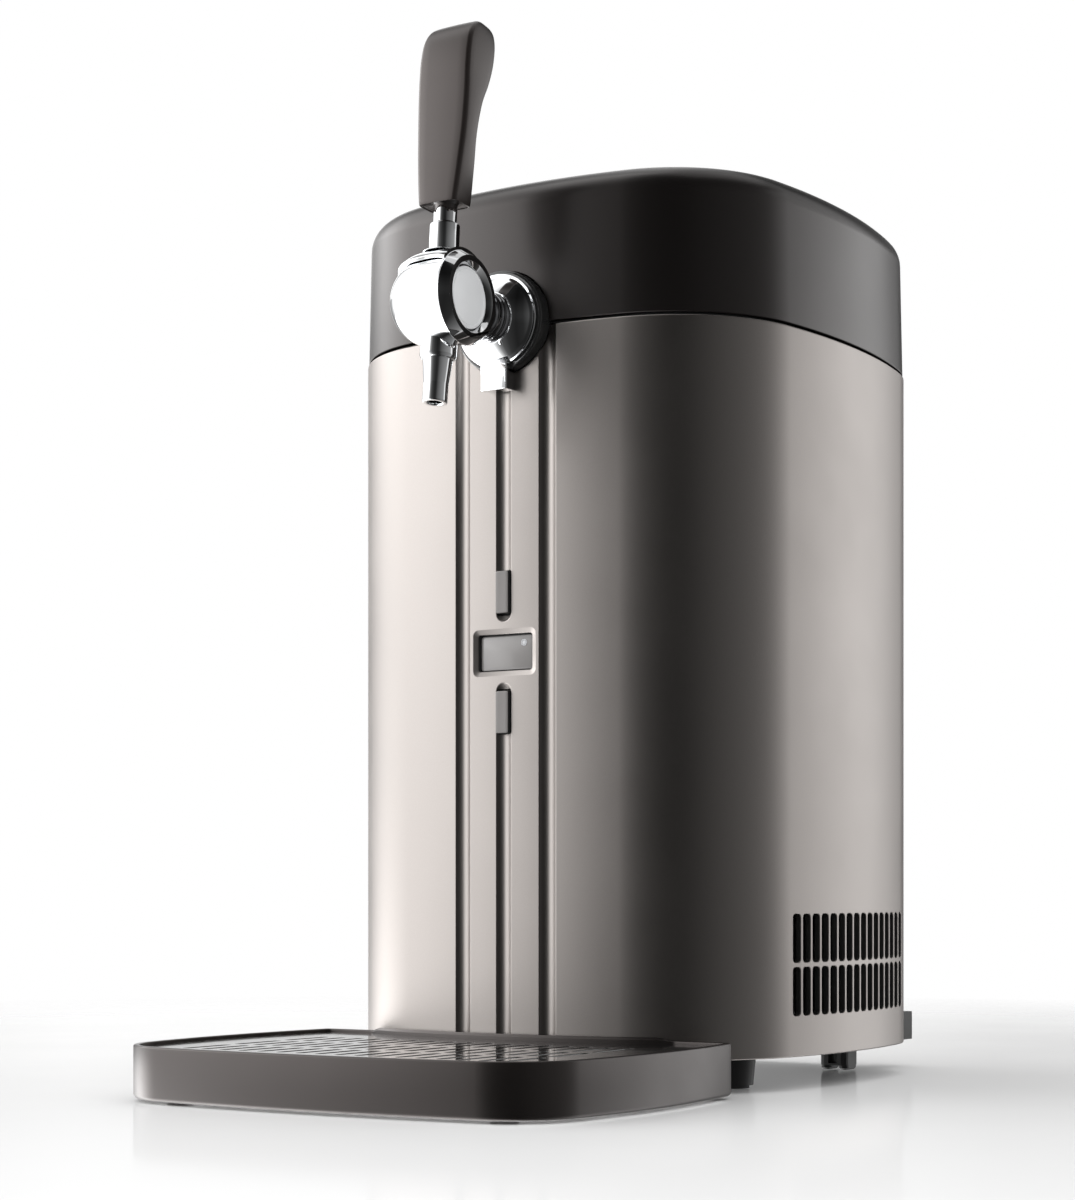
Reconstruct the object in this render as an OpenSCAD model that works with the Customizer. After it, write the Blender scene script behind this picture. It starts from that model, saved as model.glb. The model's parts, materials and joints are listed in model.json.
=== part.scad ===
// Mini keg beer dispenser: an insulated oval housing with a lift-up lid, a keg well with
// a thermoelectric cooler under it, a lever tap at the front and a pull-off drip tray.
// The front looks along -Y and the table is at Z = 0.

/* [Housing] */
// Width of the housing
body_w = 256; // [210:1:320]
// Depth of the housing
body_d = 264; // [215:1:320]
// Height of the housing's lower edge above the table
body_lift = 16; // [12:1:22]
// Height of the seam between housing and lid
seam_z = 372; // [305:1:450]
// Radius of the front and back faces in plan
front_r = 314; // [250:1:380]
// Radius of the side faces in plan
side_r = 363; // [290:1:440]
// Radius of the four corners in plan
corner_r = 77; // [60:1:95]
// Thickness of the housing's shell
wall = 3.2; // [2.6:0.1:4]

/* [Front panel] */
// Distance of the two long grooves from the middle
groove_x = 24.7; // [20:0.1:30]
// Width of the two long grooves
groove_w = 9; // [7:0.1:11]
// Depth of the grooves
groove_depth = 2; // [1:0.1:2.2]
// Width of the channel in the middle
channel_w = 9; // [7:0.1:10]
// Height of the display's middle above the table
display_z = 214; // [200:1:225]
// Width of the display recess
display_w = 37; // [30:1:38]
// Height of the display recess
display_h = 23.5; // [18:0.5:26]
// Width of the recess's sloping rim
display_rim = 3; // [1.5:0.1:4]
// Distance of each button's middle from the display's middle
button_gap = 29.4; // [27:0.1:34]
// Width of a button
button_w = 7.8; // [6:0.1:8.4]
// Height of a button
button_h = 21; // [16:0.5:24]
// How far a button stands out of the panel
button_proud = 2; // [1:0.1:3]
// How far a button travels
button_travel = 1.5; // [1:0.1:1.8]
// How far a button narrows towards its face, on each side
button_draft = 0.7; // [0:0.1:1.2]
// How far the middle channel runs past a button towards the display
channel_nose = 4; // [0:0.5:5]

/* [Side vents] */
// Number of slots in a row
vent_count = 16; // [10:1:18]
// Distance from slot to slot
vent_pitch = 8.3; // [7:0.1:8.6]
// Width of a slot
vent_w = 6.2; // [4:0.1:6.6]
// Height of a slot
vent_h = 23.8; // [16:0.1:26]
// Height of the bar between the two rows
vent_bar = 2.2; // [2:0.1:5]
// Height of the upper row's top edge above the table
vent_top = 85.9; // [75:0.1:90]

/* [Lid] */
// Height of the lid above the seam
lid_h = 71; // [59:1:86]
// Rounding of the lid's top edge
lid_edge_r = 22; // [12:1:26]
// How far the lid's side leans in over its height
lid_draft = 1.2; // [0.5:0.1:3]
// Thickness of the lid's shell
lid_wall = 3; // [2.4:0.1:4]
// Gap between lid and housing
seam_gap = 1.4; // [1:0.1:2]

/* [Keg well] */
// Inner radius of the well
well_r = 88; // [74:1:90]
// Height of the well's floor above the table
well_floor = 102; // [98:1:125]
// Thickness of the well's wall
well_wall = 1.5; // [1.2:0.1:2.5]
// Thickness of the deck round the well's mouth
deck_t = 4; // [3:0.5:5]

/* [Tap] */
// Distance of the tap's barrel in front of the housing
tap_reach = 53; // [46:1:62]
// Height of the tap above the table less the seam's height
tap_rise = 3; // [1:0.5:5]
// Radius of the tap's barrel
barrel_r = 21.3; // [19:0.1:24]
// Length of the tap's barrel
barrel_l = 33; // [28:0.5:38]
// Rounding of the barrel's left end
barrel_round = 13; // [6:0.5:14]
// Radius of the turning plug in the barrel
plug_r = 12; // [10:0.1:13.5]
// Radius of the shank behind the barrel
shank_r = 12.4; // [10.5:0.1:14]
// Radius of the chrome flange
flange_r = 22.7; // [20:0.1:24]
// Radius of the black collar behind the flange
collar_r = 25; // [24.5:0.1:28]
// Radius of the beer channel through the tap
channel_r = 3.5; // [2.5:0.1:4]
// Length of the spout below the barrel
spout_l = 28; // [22:1:36]
// Radius of the spout at its tip
spout_r = 6; // [5:0.1:7.5]
// Lean of the spout to the front, in degrees
spout_lean = 7; // [0:0.5:10]
// Lean of the lever to the back, in degrees
lever_lean = 4; // [0:0.5:8]
// How far the lever turns to the front, in degrees
lever_turn = 45; // [30:1:50]
// Height of the handle
handle_h = 92; // [76:1:112]
// Running clearance of turning parts
running = 0.05; // [0.02:0.01:0.1]

/* [Drip tray] */
// How far the tray reaches in front of the housing
tray_reach = 162; // [134:1:195]
// How far the tray's side stays in from the housing's side
tray_in = 2.5; // [-6:0.5:14]
// Height of the tray's rim
tray_h = 25.8; // [21:0.1:31]
// Thickness of the tray's wall
tray_wall = 3; // [2:0.1:4]
// Width of a slot in the drip grid
grid_slot_w = 4; // [3:0.1:6]
// Distance from slot to slot in the drip grid
grid_pitch = 11; // [9:0.5:16]

/* [Cooler and feet] */
// Side of the fan
fan_w = 60; // [50:1:66]
// Depth of the fan
fan_t = 20; // [15:1:25]
// Distance of a front foot's middle from the housing's side
front_foot_in = 39; // [34:1:54]
// Distance of a rear foot's middle from the housing's side
rear_foot_in = 51; // [46:1:62]

/* [Hidden] */

$fn = 64;
eps = 0.01;

// Colours, as the finished object shows them
body_grey = "#8f8883";
lid_grey = "#4a4542";
tray_grey = "#5c5653";
black = "#1b1a1a";
chrome = "#d8dade";
steel = "#b9bcc0";
foam = "#efefec";
board_green = "#2f5d40";
window_grey = "#8a8682";
liner_grey = "#2b2a2a";
hose_white = "#e8e4d8";

// ---- Plan of the housing: an oval of large front, side and corner arcs ----
hinge_r = 3.8;
hinge_gap = 0.4;
rear_reach = 2 * hinge_r + hinge_gap;
body_y = (tray_reach - rear_reach) / 2;
front_y = body_y - body_d / 2;
back_y = body_y + body_d / 2;
front_c = [0, front_r - body_d / 2];
side_c = [body_w / 2 - side_r, 0];
corner_c = circles_meet(front_c, front_r - corner_r, side_c, side_r - corner_r);
front_end = angle_of(corner_c - front_c);
side_end = angle_of(corner_c - side_c);

function angle_of(v) = atan2(v.y, v.x);
function arc(c, r, a0, a1, n) =
    [for (i = [0 : n]) let (a = a0 + (a1 - a0) * i / n) c + r * [cos(a), sin(a)]];
function tail(v) = [for (i = [1 : len(v) - 1]) v[i]];
function backwards(v) = [for (i = [len(v) - 1 : -1 : 0]) v[i]];
function middle(v) = [for (i = [1 : len(v) - 2]) v[i]];

// The point where two circles meet, left of the line from the first centre to the second
function circles_meet(c1, r1, c2, r2) =
    let (d = norm(c2 - c1), u = (c2 - c1) / d, a = (r1 * r1 - r2 * r2 + d * d) / (2 * d))
    c1 + a * u + sqrt(r1 * r1 - a * a) * [-u.y, u.x];

// A closed outline from its right half, which runs from the front middle to the back middle
function both_halves(half) =
    concat(half, [for (p = backwards(middle(half))) [-p.x, p.y]]);

// The housing's plan, moved in by inset, in the part's own frame
function oval(inset) =
    let (q = concat(arc(front_c, front_r - inset, -90, front_end, 4),
                    tail(arc(corner_c, corner_r - inset, front_end, side_end, 14)),
                    tail(arc(side_c, side_r - inset, side_end, 0, 4))),
         half = concat(q, tail([for (p = backwards(q)) [p.x, -p.y]])))
    [for (p = both_halves(half)) p + [0, body_y]];

// Y of the housing's front and back faces, moved in by inset, at a distance x from the middle
function front_at(x, inset = 0) =
    body_y + front_c.y - sqrt(pow(front_r - inset, 2) - x * x);
function back_at(x, inset = 0) = 2 * body_y - front_at(x, inset);

// An outline with round corners, its middle at the origin
function rounded(w, h, r, n = 3) =
    concat(arc([w / 2 - r, h / 2 - r], r, 0, 90, n), arc([r - w / 2, h / 2 - r], r, 90, 180, n),
           arc([r - w / 2, r - h / 2], r, 180, 270, n), arc([w / 2 - r, r - h / 2], r, 270, 360, n));

module oval_plate(inset, z, h) {
    translate([0, 0, z]) linear_extrude(h) polygon(oval(inset));
}

module oval_ring(outer, inner, z, h) {
    translate([0, 0, z]) linear_extrude(h) difference() {
        polygon(oval(outer));
        polygon(oval(inner));
    }
}

// An outline in X and Z, pushed back along +Y from the plane y
module upright(outline, y, depth) {
    translate([0, y + depth, 0]) rotate([90, 0, 0]) linear_extrude(depth) polygon(outline);
}

function moved(outline, x, z) = [for (p = outline) p + [x, z]];

// A cylinder that lies along Y, from y on
module along_y(r, y, length) {
    translate([0, y, 0]) rotate([-90, 0, 0]) cylinder(r = r, h = length);
}

// A closed skin over rings that all have as many points
module loft(rings) {
    n = len(rings[0]);
    last = len(rings) - 1;
    sides = [for (k = [0 : last - 1], i = [0 : n - 1], half = [0, 1])
        let (j = (i + 1) % n, a = k * n, b = (k + 1) * n)
        half == 0 ? [a + i, b + i, b + j] : [a + i, b + j, a + j]];
    bottom = [for (i = [0 : n - 1]) i];
    top = [for (i = [n - 1 : -1 : 0]) last * n + i];
    polyhedron(points = [for (ring = rings, p = ring) p], faces = concat([bottom, top], sides));
}

// ---- Levels and places that several parts share ----
base_t = 2.5;
deck_top = seam_z - 8;
well_depth = deck_top - well_floor;
fit = 0.3;
tap_y = front_y - tap_reach;
tap_z = seam_z + tap_rise;
collar_front = 5;
flange_t = 8;
shank_end = front_y + 34;
barb_r = 4.5;
barb_l = 10;
line_r = 5;
line_start = shank_end + barb_l - 8;
park_in = 74;
park_x = park_in - body_w / 2;
turn_r = -park_x / 2;
turn_y = line_start + 10;
rise_to = tap_z + 28;
coupler_top = deck_top + 18;
drop_r = rise_to - coupler_top;
park_y = turn_y - drop_r;
park_r = 10;
socket_wall = 2.5;
plug_head_r = plug_r + 2.6;
barrel_wall = 3.5;
stem_r = 4;
ferrule_r = 7.2;
ferrule_l = 13;
rod_r = 5.6;
saddle_gap = 0.4;
saddle_t = 1.9;
handle_rise = 46;
handle_bore_l = 14;
display_y = front_y + 4;
board_y = front_y + 15;
fan_z = body_lift + base_t + 10 + fan_w / 2;
fan_y = back_at(fan_w / 2, wall) - fan_t - 1;
foam_floor = max(well_floor - 12, fan_z + fan_w / 2 + 1);
hub_r = 16;
grille_r = fan_w / 2 - 2;
hinge_y = back_y + hinge_gap + hinge_r;
hinge_z = seam_z + seam_gap / 2;
pin_r = 1.75;
hinge_l = 96;
knuckle_l = 24;
leaf_t = 2.2;
leaf_h = 24;
hinge_screw_x = 36;
hinge_screw_z = seam_z - 15;
flap_screw_x = 14;
flap_screw_z = seam_z + 15;
vent_shift = 3.5;
vent_first = body_y - (vent_count - 1) * vent_pitch / 2 + vent_shift;
screw_r = 1.6;
board_in = 24;
board_w = 40;

// ---- Housing ----
module groove(x) {
    y = front_at(groove_x);
    translate([x, y]) polygon([[-groove_w / 2 - 0.6, -0.8], [groove_w / 2 + 0.6, -0.8],
                               [groove_w / 2 - 1, groove_depth * 0.45], [0.9, groove_depth],
                               [-0.9, groove_depth], [1 - groove_w / 2, groove_depth * 0.45]]);
}

// The middle channel between two levels, with a round end at each
channel_slope = 1.6;
module channel(z0, z1) {
    foot = channel_w / 2 - channel_slope;
    translate([0, front_y, z0]) linear_extrude(z1 - z0)
        polygon([[-channel_w / 2, -1], [channel_w / 2, -1], [foot, groove_depth],
                 [-foot, groove_depth]]);
    for (z = [z0, z1]) translate([0, front_y - 1, z]) rotate([-90, 0, 0])
        cylinder(r1 = channel_w / 2, r2 = foot, h = groove_depth + 1);
}

vent_r = 1.9;
module vent_slots() {
    for (row = [0, 1], i = [0 : vent_count - 1])
        translate([-body_w / 2 - 1, vent_first + i * vent_pitch,
                   vent_top - vent_h / 2 - row * (vent_h + vent_bar)])
            rotate([90, 0, 90]) linear_extrude(body_w + 2) polygon(rounded(vent_w, vent_h, vent_r));
}

// Where the middle channel's round ends have their middles, from the display's middle
channel_end = button_gap - button_h / 2 - channel_nose + channel_w / 2;

// The outline of the display's opening, grown on every side
function display_outline(grow, r) =
    moved(rounded(display_w - 2 * (display_rim - grow), display_h - 2 * (display_rim - grow), r),
          0, display_z);

module button_hole(z) {
    upright(moved(rounded(button_w + 2 * fit, button_h + 2 * fit, 1, 2), 0, z), front_y - 2, 12);
}

module outer_housing() {
    color(body_grey) difference() {
        translate([0, 0, body_lift]) linear_extrude(seam_z - body_lift) difference() {
            polygon(oval(0));
            polygon(oval(wall));
            groove(-groove_x);
            groove(groove_x);
        }
        channel(body_lift - 1, display_z - channel_end);
        channel(display_z + channel_end, seam_z + 1);
        for (side = [-1, 1]) button_hole(display_z + side * button_gap);
        // The display recess, with a sloping rim
        upright(display_outline(0, 1.3), front_y - 2, 12);
        hull() {
            upright(display_outline(display_rim, 3.2), front_y - 0.6, 0.6);
            upright(display_outline(0, 1.3), front_y + wall - 0.8, 0.2);
        }
        vent_slots();
        // The half round notch that the tap's collar stands in
        translate([0, 0, tap_z]) along_y(collar_r + fit, front_y - 2, 14);
        // The window behind the rear grille, and the inlet's window
        translate([0, 0, fan_z]) along_y(grille_r + 1, back_y - 20, 30);
        inlet_place() cube([inlet_w, 60, inlet_h], center = true);
        for (side = [-1, 1])
            translate([side * hinge_screw_x, 0, hinge_screw_z]) along_y(screw_r, back_y - 12, 20);
        for (side = [-1, 1], level = [-1, 1])
            translate([side * grille_screw_d, 0, fan_z + level * grille_screw_d])
                along_y(screw_r, back_y - 20, 30);
    }
}

// The floor of the housing, with a low upstand, air slots and bosses for the feet
base_slot_l = 60;
module base_pan() {
    color(black) difference() {
        union() {
            oval_plate(wall + fit, body_lift, base_t);
            oval_ring(wall + fit, wall + fit + 2, body_lift, 9);
        }
        for (i = [-4 : 4], side = [-1, 1])
            translate([i * 9, body_y + side * 42, body_lift - 1]) linear_extrude(base_t + 2)
                polygon(rounded(4, base_slot_l, 1.9, 3));
        foot_places() cylinder(r = screw_r, h = 60, center = true);
        inlet_place() cube([inlet_w + 2 * fit, 72, inlet_h + 2 * fit], center = true);
    }
}

foot_y_front = front_y + 70;
foot_y_back = back_y - 47;
front_foot_x = body_w / 2 - front_foot_in;
rear_foot_x = body_w / 2 - rear_foot_in;
foot_spots = [[-front_foot_x, foot_y_front], [front_foot_x, foot_y_front],
              [-rear_foot_x, foot_y_back], [rear_foot_x, foot_y_back]];
pad_t = 2.5;
foot_r = 12;

module foot_places() {
    for (p = foot_spots) translate([p.x, p.y, body_lift]) children();
}

module base_screws() {
    color(steel) foot_places() {
        translate([0, 0, -8]) cylinder(r = screw_r - 0.1, h = base_t + 8);
        translate([0, 0, base_t]) cylinder(r = 3.2, h = 2);
    }
}

module front_feet() {
    color(tray_grey) for (i = [0, 1]) translate(foot_spots[i]) difference() {
        translate([0, 0, pad_t - 1]) cylinder(r1 = foot_r - 1.4, r2 = foot_r, h = body_lift - pad_t + 1);
        translate([0, 0, pad_t - 2]) cylinder(r = foot_r - 3.2, h = 2);
        translate([0, 0, body_lift - 9]) cylinder(r = screw_r, h = 12);
    }
}

module foot_pads() {
    color(black) for (i = [0, 1]) translate(foot_spots[i]) cylinder(r = foot_r - 3.3, h = pad_t);
}

// A rear foot is a ribbed block that stands on two short round prongs
module rear_feet() {
    size = 16;
    prong_w = 5.6;
    prong_h = 2.5;
    color(black) for (i = [2, 3]) translate(foot_spots[i]) difference() {
        union() {
            translate([0, 0, prong_h]) linear_extrude(body_lift - prong_h)
                polygon(rounded(size, size, 3, 3));
            for (side = [-1, 1]) translate([side * (size - prong_w) / 2, 0, 0]) hull() {
                linear_extrude(1) polygon(rounded(prong_w - 2, size - 4, 1.6));
                translate([0, 0, 1]) linear_extrude(prong_h) polygon(rounded(prong_w, size - 2, 2.6));
            }
        }
        for (side = [-1, 1]) translate([0, side * size / 2, prong_h + 1])
            cylinder(r = 2.5, h = body_lift - prong_h - 4, $fn = 24);
        translate([0, 0, body_lift - 9]) cylinder(r = screw_r, h = 12);
    }
}

// ---- Keg well and its deck ----
module top_frame() {
    color(black) difference() {
        union() {
            oval_plate(wall + fit, deck_top - deck_t, deck_t);
            oval_ring(wall + fit, wall + fit + 2, deck_top, seam_z - 0.6 - deck_top);
            // The raised lip round the well's mouth
            translate([0, body_y, deck_top - eps]) cylinder(r = well_r + 6, h = 3, $fn = 96);
            // The socket that the keg coupler is parked in
            translate([park_x, park_y, deck_top - 16]) cylinder(r = park_r + socket_wall, h = 16);
        }
        translate([0, body_y, deck_top - deck_t - 1])
            cylinder(r = well_r + well_wall + 0.1, h = deck_t + 6, $fn = 96);
        translate([park_x, park_y, deck_top - 13]) cylinder(r = park_r, h = 30);
        translate([0, 0, tap_z]) along_y(collar_r + 3, front_y, 14);
        translate([-22, front_y, deck_top - 13]) cube([44, 50, 40]);
    }
}

module keg_well() {
    color(steel) translate([0, body_y, 0]) difference() {
        union() {
            translate([0, 0, well_floor - 2]) cylinder(r = well_r + well_wall, h = well_depth + 2, $fn = 96);
            translate([0, 0, deck_top + 3]) cylinder(r = well_r + 4, h = 1.2, $fn = 96);
            translate([0, 0, deck_top - 1]) cylinder(r = well_r + well_wall, h = 5, $fn = 96);
        }
        translate([0, 0, well_floor]) cylinder(r = well_r, h = well_depth + 20, $fn = 96);
        translate([0, 0, well_floor - 3]) cylinder(r = 4, h = 6);
    }
}

module well_insulation() {
    color(foam) difference() {
        oval_plate(wall + 1.2, foam_floor, deck_top - deck_t - 17 - foam_floor);
        translate([0, body_y, well_floor - 2.5])
            cylinder(r = well_r + well_wall + 0.4, h = well_depth, $fn = 96);
        translate([0, body_y, well_floor - 17]) cube([cold_w + 1, cold_w + 1, 40], center = true);
        translate([0, body_y, well_floor - 17]) cylinder(r = 4, h = 30);
        // Room behind the front panel for the switches and the display
        translate([-33, front_y, display_z - 50]) cube([66, 29, 100]);
    }
}

// ---- Cooler ----
cold_w = 60;
cold_t = 14;
peltier_w = 40;
peltier_t = 4;
sink_gap = 9;
sink_w = body_w - 2 * (board_in + board_w + sink_gap);
sink_base = 6;
sink_top = well_floor - 2 - cold_t - peltier_t;
sink_front = body_y - 62;
sink_l = fan_y - 6 - sink_front;
fin_h = sink_top - sink_base - body_lift - base_t - 8;
fin_pitch = 6;

module cold_block() {
    color(steel) translate([0, body_y, well_floor - 2 - cold_t]) difference() {
        translate([-cold_w / 2, -cold_w / 2, 0]) cube([cold_w, cold_w, cold_t]);
        translate([0, 0, -1]) cylinder(r = 4, h = cold_t + 2);
        cooler_screw_places() translate([0, 0, -1]) cylinder(r = screw_r, h = 10);
    }
}

module cooler_screw_places() {
    for (x = [-1, 1], y = [-1, 1]) translate([x * 25, y * 25, 0]) children();
}

module peltier_module() {
    color(foam) translate([-peltier_w / 2, body_y - peltier_w / 2, sink_top])
        cube([peltier_w, peltier_w, peltier_t]);
}

module heat_sink() {
    fins = floor(sink_w / fin_pitch / 2);
    color(steel) difference() {
        union() {
            translate([-sink_w / 2, sink_front, sink_top - sink_base]) cube([sink_w, sink_l, sink_base]);
            for (i = [-fins : fins])
                translate([i * fin_pitch - 0.8, sink_front, sink_top - sink_base - fin_h])
                    cube([1.6, sink_l, fin_h + 1]);
        }
        translate([0, body_y, sink_top - 20]) cooler_screw_places() cylinder(r = screw_r, h = 30);
    }
}

module cooler_screws() {
    color(steel) translate([0, body_y, sink_top]) cooler_screw_places() {
        translate([0, 0, -sink_base]) cylinder(r = screw_r - 0.1, h = sink_base + peltier_t + 8);
    }
}

module fan_frame() {
    color(black) translate([0, fan_y, fan_z]) rotate([-90, 0, 0]) difference() {
        translate([-fan_w / 2, -fan_w / 2, 0]) cube([fan_w, fan_w, fan_t]);
        difference() {
            translate([0, 0, -1]) cylinder(r = fan_w / 2 - 2, h = fan_t + 2);
            cylinder(r = hub_r - 2, h = 3);
            for (a = [45 : 90 : 315]) rotate([0, 0, a]) translate([0, -2, 0]) cube([fan_w / 2, 4, 3]);
            cylinder(r = 3, h = fan_t - 4);
        }
        for (x = [-1, 1], y = [-1, 1])
            translate([x * grille_screw_d, y * grille_screw_d, -1]) cylinder(r = screw_r, h = fan_t + 2);
    }
}

module fan_rotor() {
    blades = 7;
    color(black) translate([0, fan_y, fan_z]) rotate([-90, 0, 0]) difference() {
        union() {
            translate([0, 0, 3.5]) cylinder(r = hub_r, h = fan_t - 4.5);
            for (i = [0 : blades - 1]) rotate([0, 0, i * 360 / blades])
                translate([hub_r - 2, 0, fan_t / 2]) rotate([35, 0, 0])
                    translate([0, -7, -0.9]) cube([fan_w / 2 - hub_r - 2, 14, 1.8]);
        }
        cylinder(r = 3 + running, h = fan_t - 4 + 0.3);
        translate([0, 0, 3]) difference() {
            cylinder(r = hub_r - 2, h = fan_t - 7);
            cylinder(r = 6, h = fan_t - 7);
        }
    }
}

grille_screw_d = fan_w / 2 - 4;

// A round grille of level bars that follows the housing's back and backs onto the fan
module rear_grille() {
    inner = fan_y + fan_t + 0.1;
    color(black) intersection() {
        union() {
            difference() {
                translate([0, 0, fan_z]) along_y(grille_r + 0.8, inner, 20);
                translate([0, 0, fan_z]) along_y(grille_r - 2, inner - 1, 22);
            }
            intersection() {
                translate([0, 0, fan_z]) along_y(grille_r, inner, 20);
                translate([0, 0, fan_z]) for (i = [-4 : 4])
                    translate([-grille_r, back_y - 7, i * grille_r / 4.5 - 1]) cube([2 * grille_r, 10, 2]);
            }
        }
        union() {
            oval_ring(0.2, wall - 0.4, fan_z - 40, 80);
            translate([0, 0, fan_z]) difference() {
                along_y(grille_r + 0.8, inner, back_y - 3 - inner);
                along_y(grille_r - 2, inner - 1, 20);
            }
        }
    }
}

module grille_screws() {
    color(steel) for (x = [-1, 1], level = [-1, 1])
        translate([x * grille_screw_d, 0, fan_z + level * grille_screw_d]) {
            along_y(screw_r - 0.1, fan_y + 4, back_y - fan_y - 4);
        }
}

// ---- Power ----
inlet_w = 22;
inlet_h = 16;
inlet_taper = 4;
inlet_x = body_w / 2 - 41;
inlet_z = body_lift + 6.4;

module inlet_place() {
    translate([inlet_x, back_y, inlet_z]) children();
}

module power_inlet() {
    color(black) inlet_place() difference() {
        hull() {
            translate([-inlet_w / 2 + fit, -34, -inlet_h / 2 + fit])
                cube([inlet_w - 2 * fit, 34 + rear_reach - inlet_taper, inlet_h - 2 * fit]);
            translate([0, rear_reach, 0]) rotate([90, 0, 0]) linear_extrude(1)
                polygon(rounded(inlet_w - inlet_taper, inlet_h - inlet_taper, 2));
        }
        translate([0, rear_reach + 1, 0]) rotate([90, 0, 0]) linear_extrude(18)
            polygon(rounded(inlet_w - 7, inlet_h - 7, 4, 4));
    }
}

module power_board() {
    color(board_green) translate([board_in - body_w / 2, body_y - 50, body_lift + base_t]) {
        for (x = [6, board_w - 6], y = [8, 72]) translate([x, y, 0]) cylinder(r = 3, h = 6);
        translate([0, 0, 6]) cube([board_w, 80, 1.6]);
        translate([6, 10, 7.6]) cube([28, 34, 22]);
        for (y = [56, 70]) translate([20, y, 7.6]) cylinder(r = 6, h = 20);
    }
}

module control_board() {
    color(board_green) difference() {
        translate([-20, board_y, display_z - 46]) cube([40, 1.6, 92]);
        for (x = [-1, 1], z = [-1, 1])
            translate([x * 16, 0, display_z + z * 42]) along_y(screw_r, board_y - 1, 4);
    }
}

// ---- Display and buttons ----
module display_module() {
    color(black) difference() {
        upright(display_outline(display_rim + 2.5, 2), display_y, board_y - display_y);
        upright(display_outline(-0.2, 1.2), display_y - 1, 3);
    }
}

module display_window() {
    color(window_grey)
        upright(display_outline(-0.3, 1.1), display_y - 0.6, 2.6);
}

module button(z) {
    front = front_y - button_proud;
    color(tray_grey) {
        hull() {
            upright(moved(rounded(button_w, button_h, 0.9, 2), 0, z), front_y, wall + 2.5);
            upright(moved(rounded(button_w - 2 * button_draft, button_h - 2 * button_draft, 0.7, 2),
                          0, z), front, 0.2);
        }
        upright(moved(rounded(button_w + 4, button_h + 4, 1, 2), 0, z), front_y + wall + 0.4, 2.1);
    }
}

module button_upper() { button(display_z + button_gap); }
module button_lower() { button(display_z - button_gap); }

module button_switches() {
    tip = front_y + wall + 2.5 + button_travel + fit;
    color(black) for (side = [-1, 1]) translate([0, 0, display_z + side * button_gap]) {
        upright(rounded(7, 7, 0.6, 2), tip + 2, board_y - tip - 2);
        along_y(1.6, tip, 3);
    }
}

// ---- Tap ----
shank_start = tap_y + barrel_r + 1.5;
flange_front = front_y - collar_front - flange_t;
neck_r = 9;
nut_y = front_y + 13;
nut_t = 8;
cheek_t = 3.2;
cheek_x = barrel_l / 2 - cheek_t - 1;
barrel_left = -barrel_l / 2;
barrel_right = cheek_x - fit;

// The tap's own frame: its barrel's middle
module at_tap() {
    translate([0, tap_y, tap_z]) children();
}

// A shape turned from a profile of [radius, X], about the barrel's axis
module turned(profile) {
    rotate([0, 90, 0]) rotate_extrude() polygon(profile);
}

// A shape turned from a profile of [radius, Y], about the shank's axis
module turned_y(profile) {
    translate([0, 0, tap_z]) rotate([-90, 0, 0]) rotate_extrude() polygon(profile);
}

function barrel_profile(grow) =
    let (r = barrel_round + grow)
    concat([[0, barrel_left - grow]],
           arc([barrel_r - barrel_round, barrel_left + barrel_round], r, -90, 0, 8));

module tap_collar() {
    color(black)
        turned_y([[neck_r + 0.1, front_y - collar_front], [collar_r - 0.8, front_y - collar_front],
                  [collar_r, front_y - collar_front + 0.8], [collar_r, nut_y - 3.5],
                  [collar_r + 2, nut_y - 3.5], [collar_r + 2, nut_y], [neck_r + 0.1, nut_y]]);
}

module tap_flange() {
    back = front_y - collar_front;
    rim_t = 1.8;
    dome_r = flange_t - rim_t;
    tab_w = 15;
    color(chrome) difference() {
        union() {
            turned_y(concat([[neck_r + 0.1, back], [flange_r - 0.5, back], [flange_r, back - 0.5],
                             [flange_r, back - rim_t + 0.5], [flange_r - 0.5, back - rim_t],
                             [flange_r - 1.6, back - rim_t]],
                            arc([flange_r - 1.6 - dome_r, back - rim_t], dome_r, 0, -90, 6),
                            [[neck_r + 0.1, flange_front]]));
            translate([-tab_w / 2, back - 4.2, tap_z - flange_r - 11.3]) cube([tab_w, collar_front + 4, 20]);
        }
        // Room for the collar, and for the flange's own dome above the tab
        turned_y([[0, back], [collar_r + 0.2, back], [collar_r + 0.2, front_y + 1], [0, front_y + 1]]);
        translate([0, 0, tap_z]) along_y(neck_r + 0.1, flange_front - 1, 30);
    }
}

module tap_shank() {
    ridge = (flange_front - shank_start) / 4;
    color(chrome) difference() {
        turned_y([[0, shank_start], [shank_r + 0.8, shank_start], [shank_r + 0.8, shank_start + 1.4],
                  [shank_r, shank_start + 1.8], [shank_r, shank_start + ridge * 1.6],
                  [shank_r - 0.6, shank_start + ridge * 1.6 + 0.3],
                  [shank_r - 0.6, shank_start + ridge * 1.6 + 0.9],
                  [shank_r, shank_start + ridge * 1.6 + 1.2], [shank_r, shank_start + ridge * 2.8],
                  [shank_r - 0.6, shank_start + ridge * 2.8 + 0.3],
                  [shank_r - 0.6, shank_start + ridge * 2.8 + 0.9],
                  [shank_r, shank_start + ridge * 2.8 + 1.2], [shank_r, flange_front],
                  [neck_r, flange_front], [neck_r, shank_end], [0, shank_end]]);
        translate([0, 0, tap_z]) along_y(channel_r, shank_start - 1, 120);
        translate([0, 0, tap_z]) along_y(barb_r, shank_end - 8, 10);
    }
}

module tap_nut() {
    color(steel) translate([0, 0, tap_z]) difference() {
        translate([0, nut_y, 0]) rotate([-90, 0, 0]) cylinder(r = 15, h = nut_t, $fn = 6);
        along_y(neck_r + 0.1, nut_y - 1, nut_t + 2);
    }
}

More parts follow.
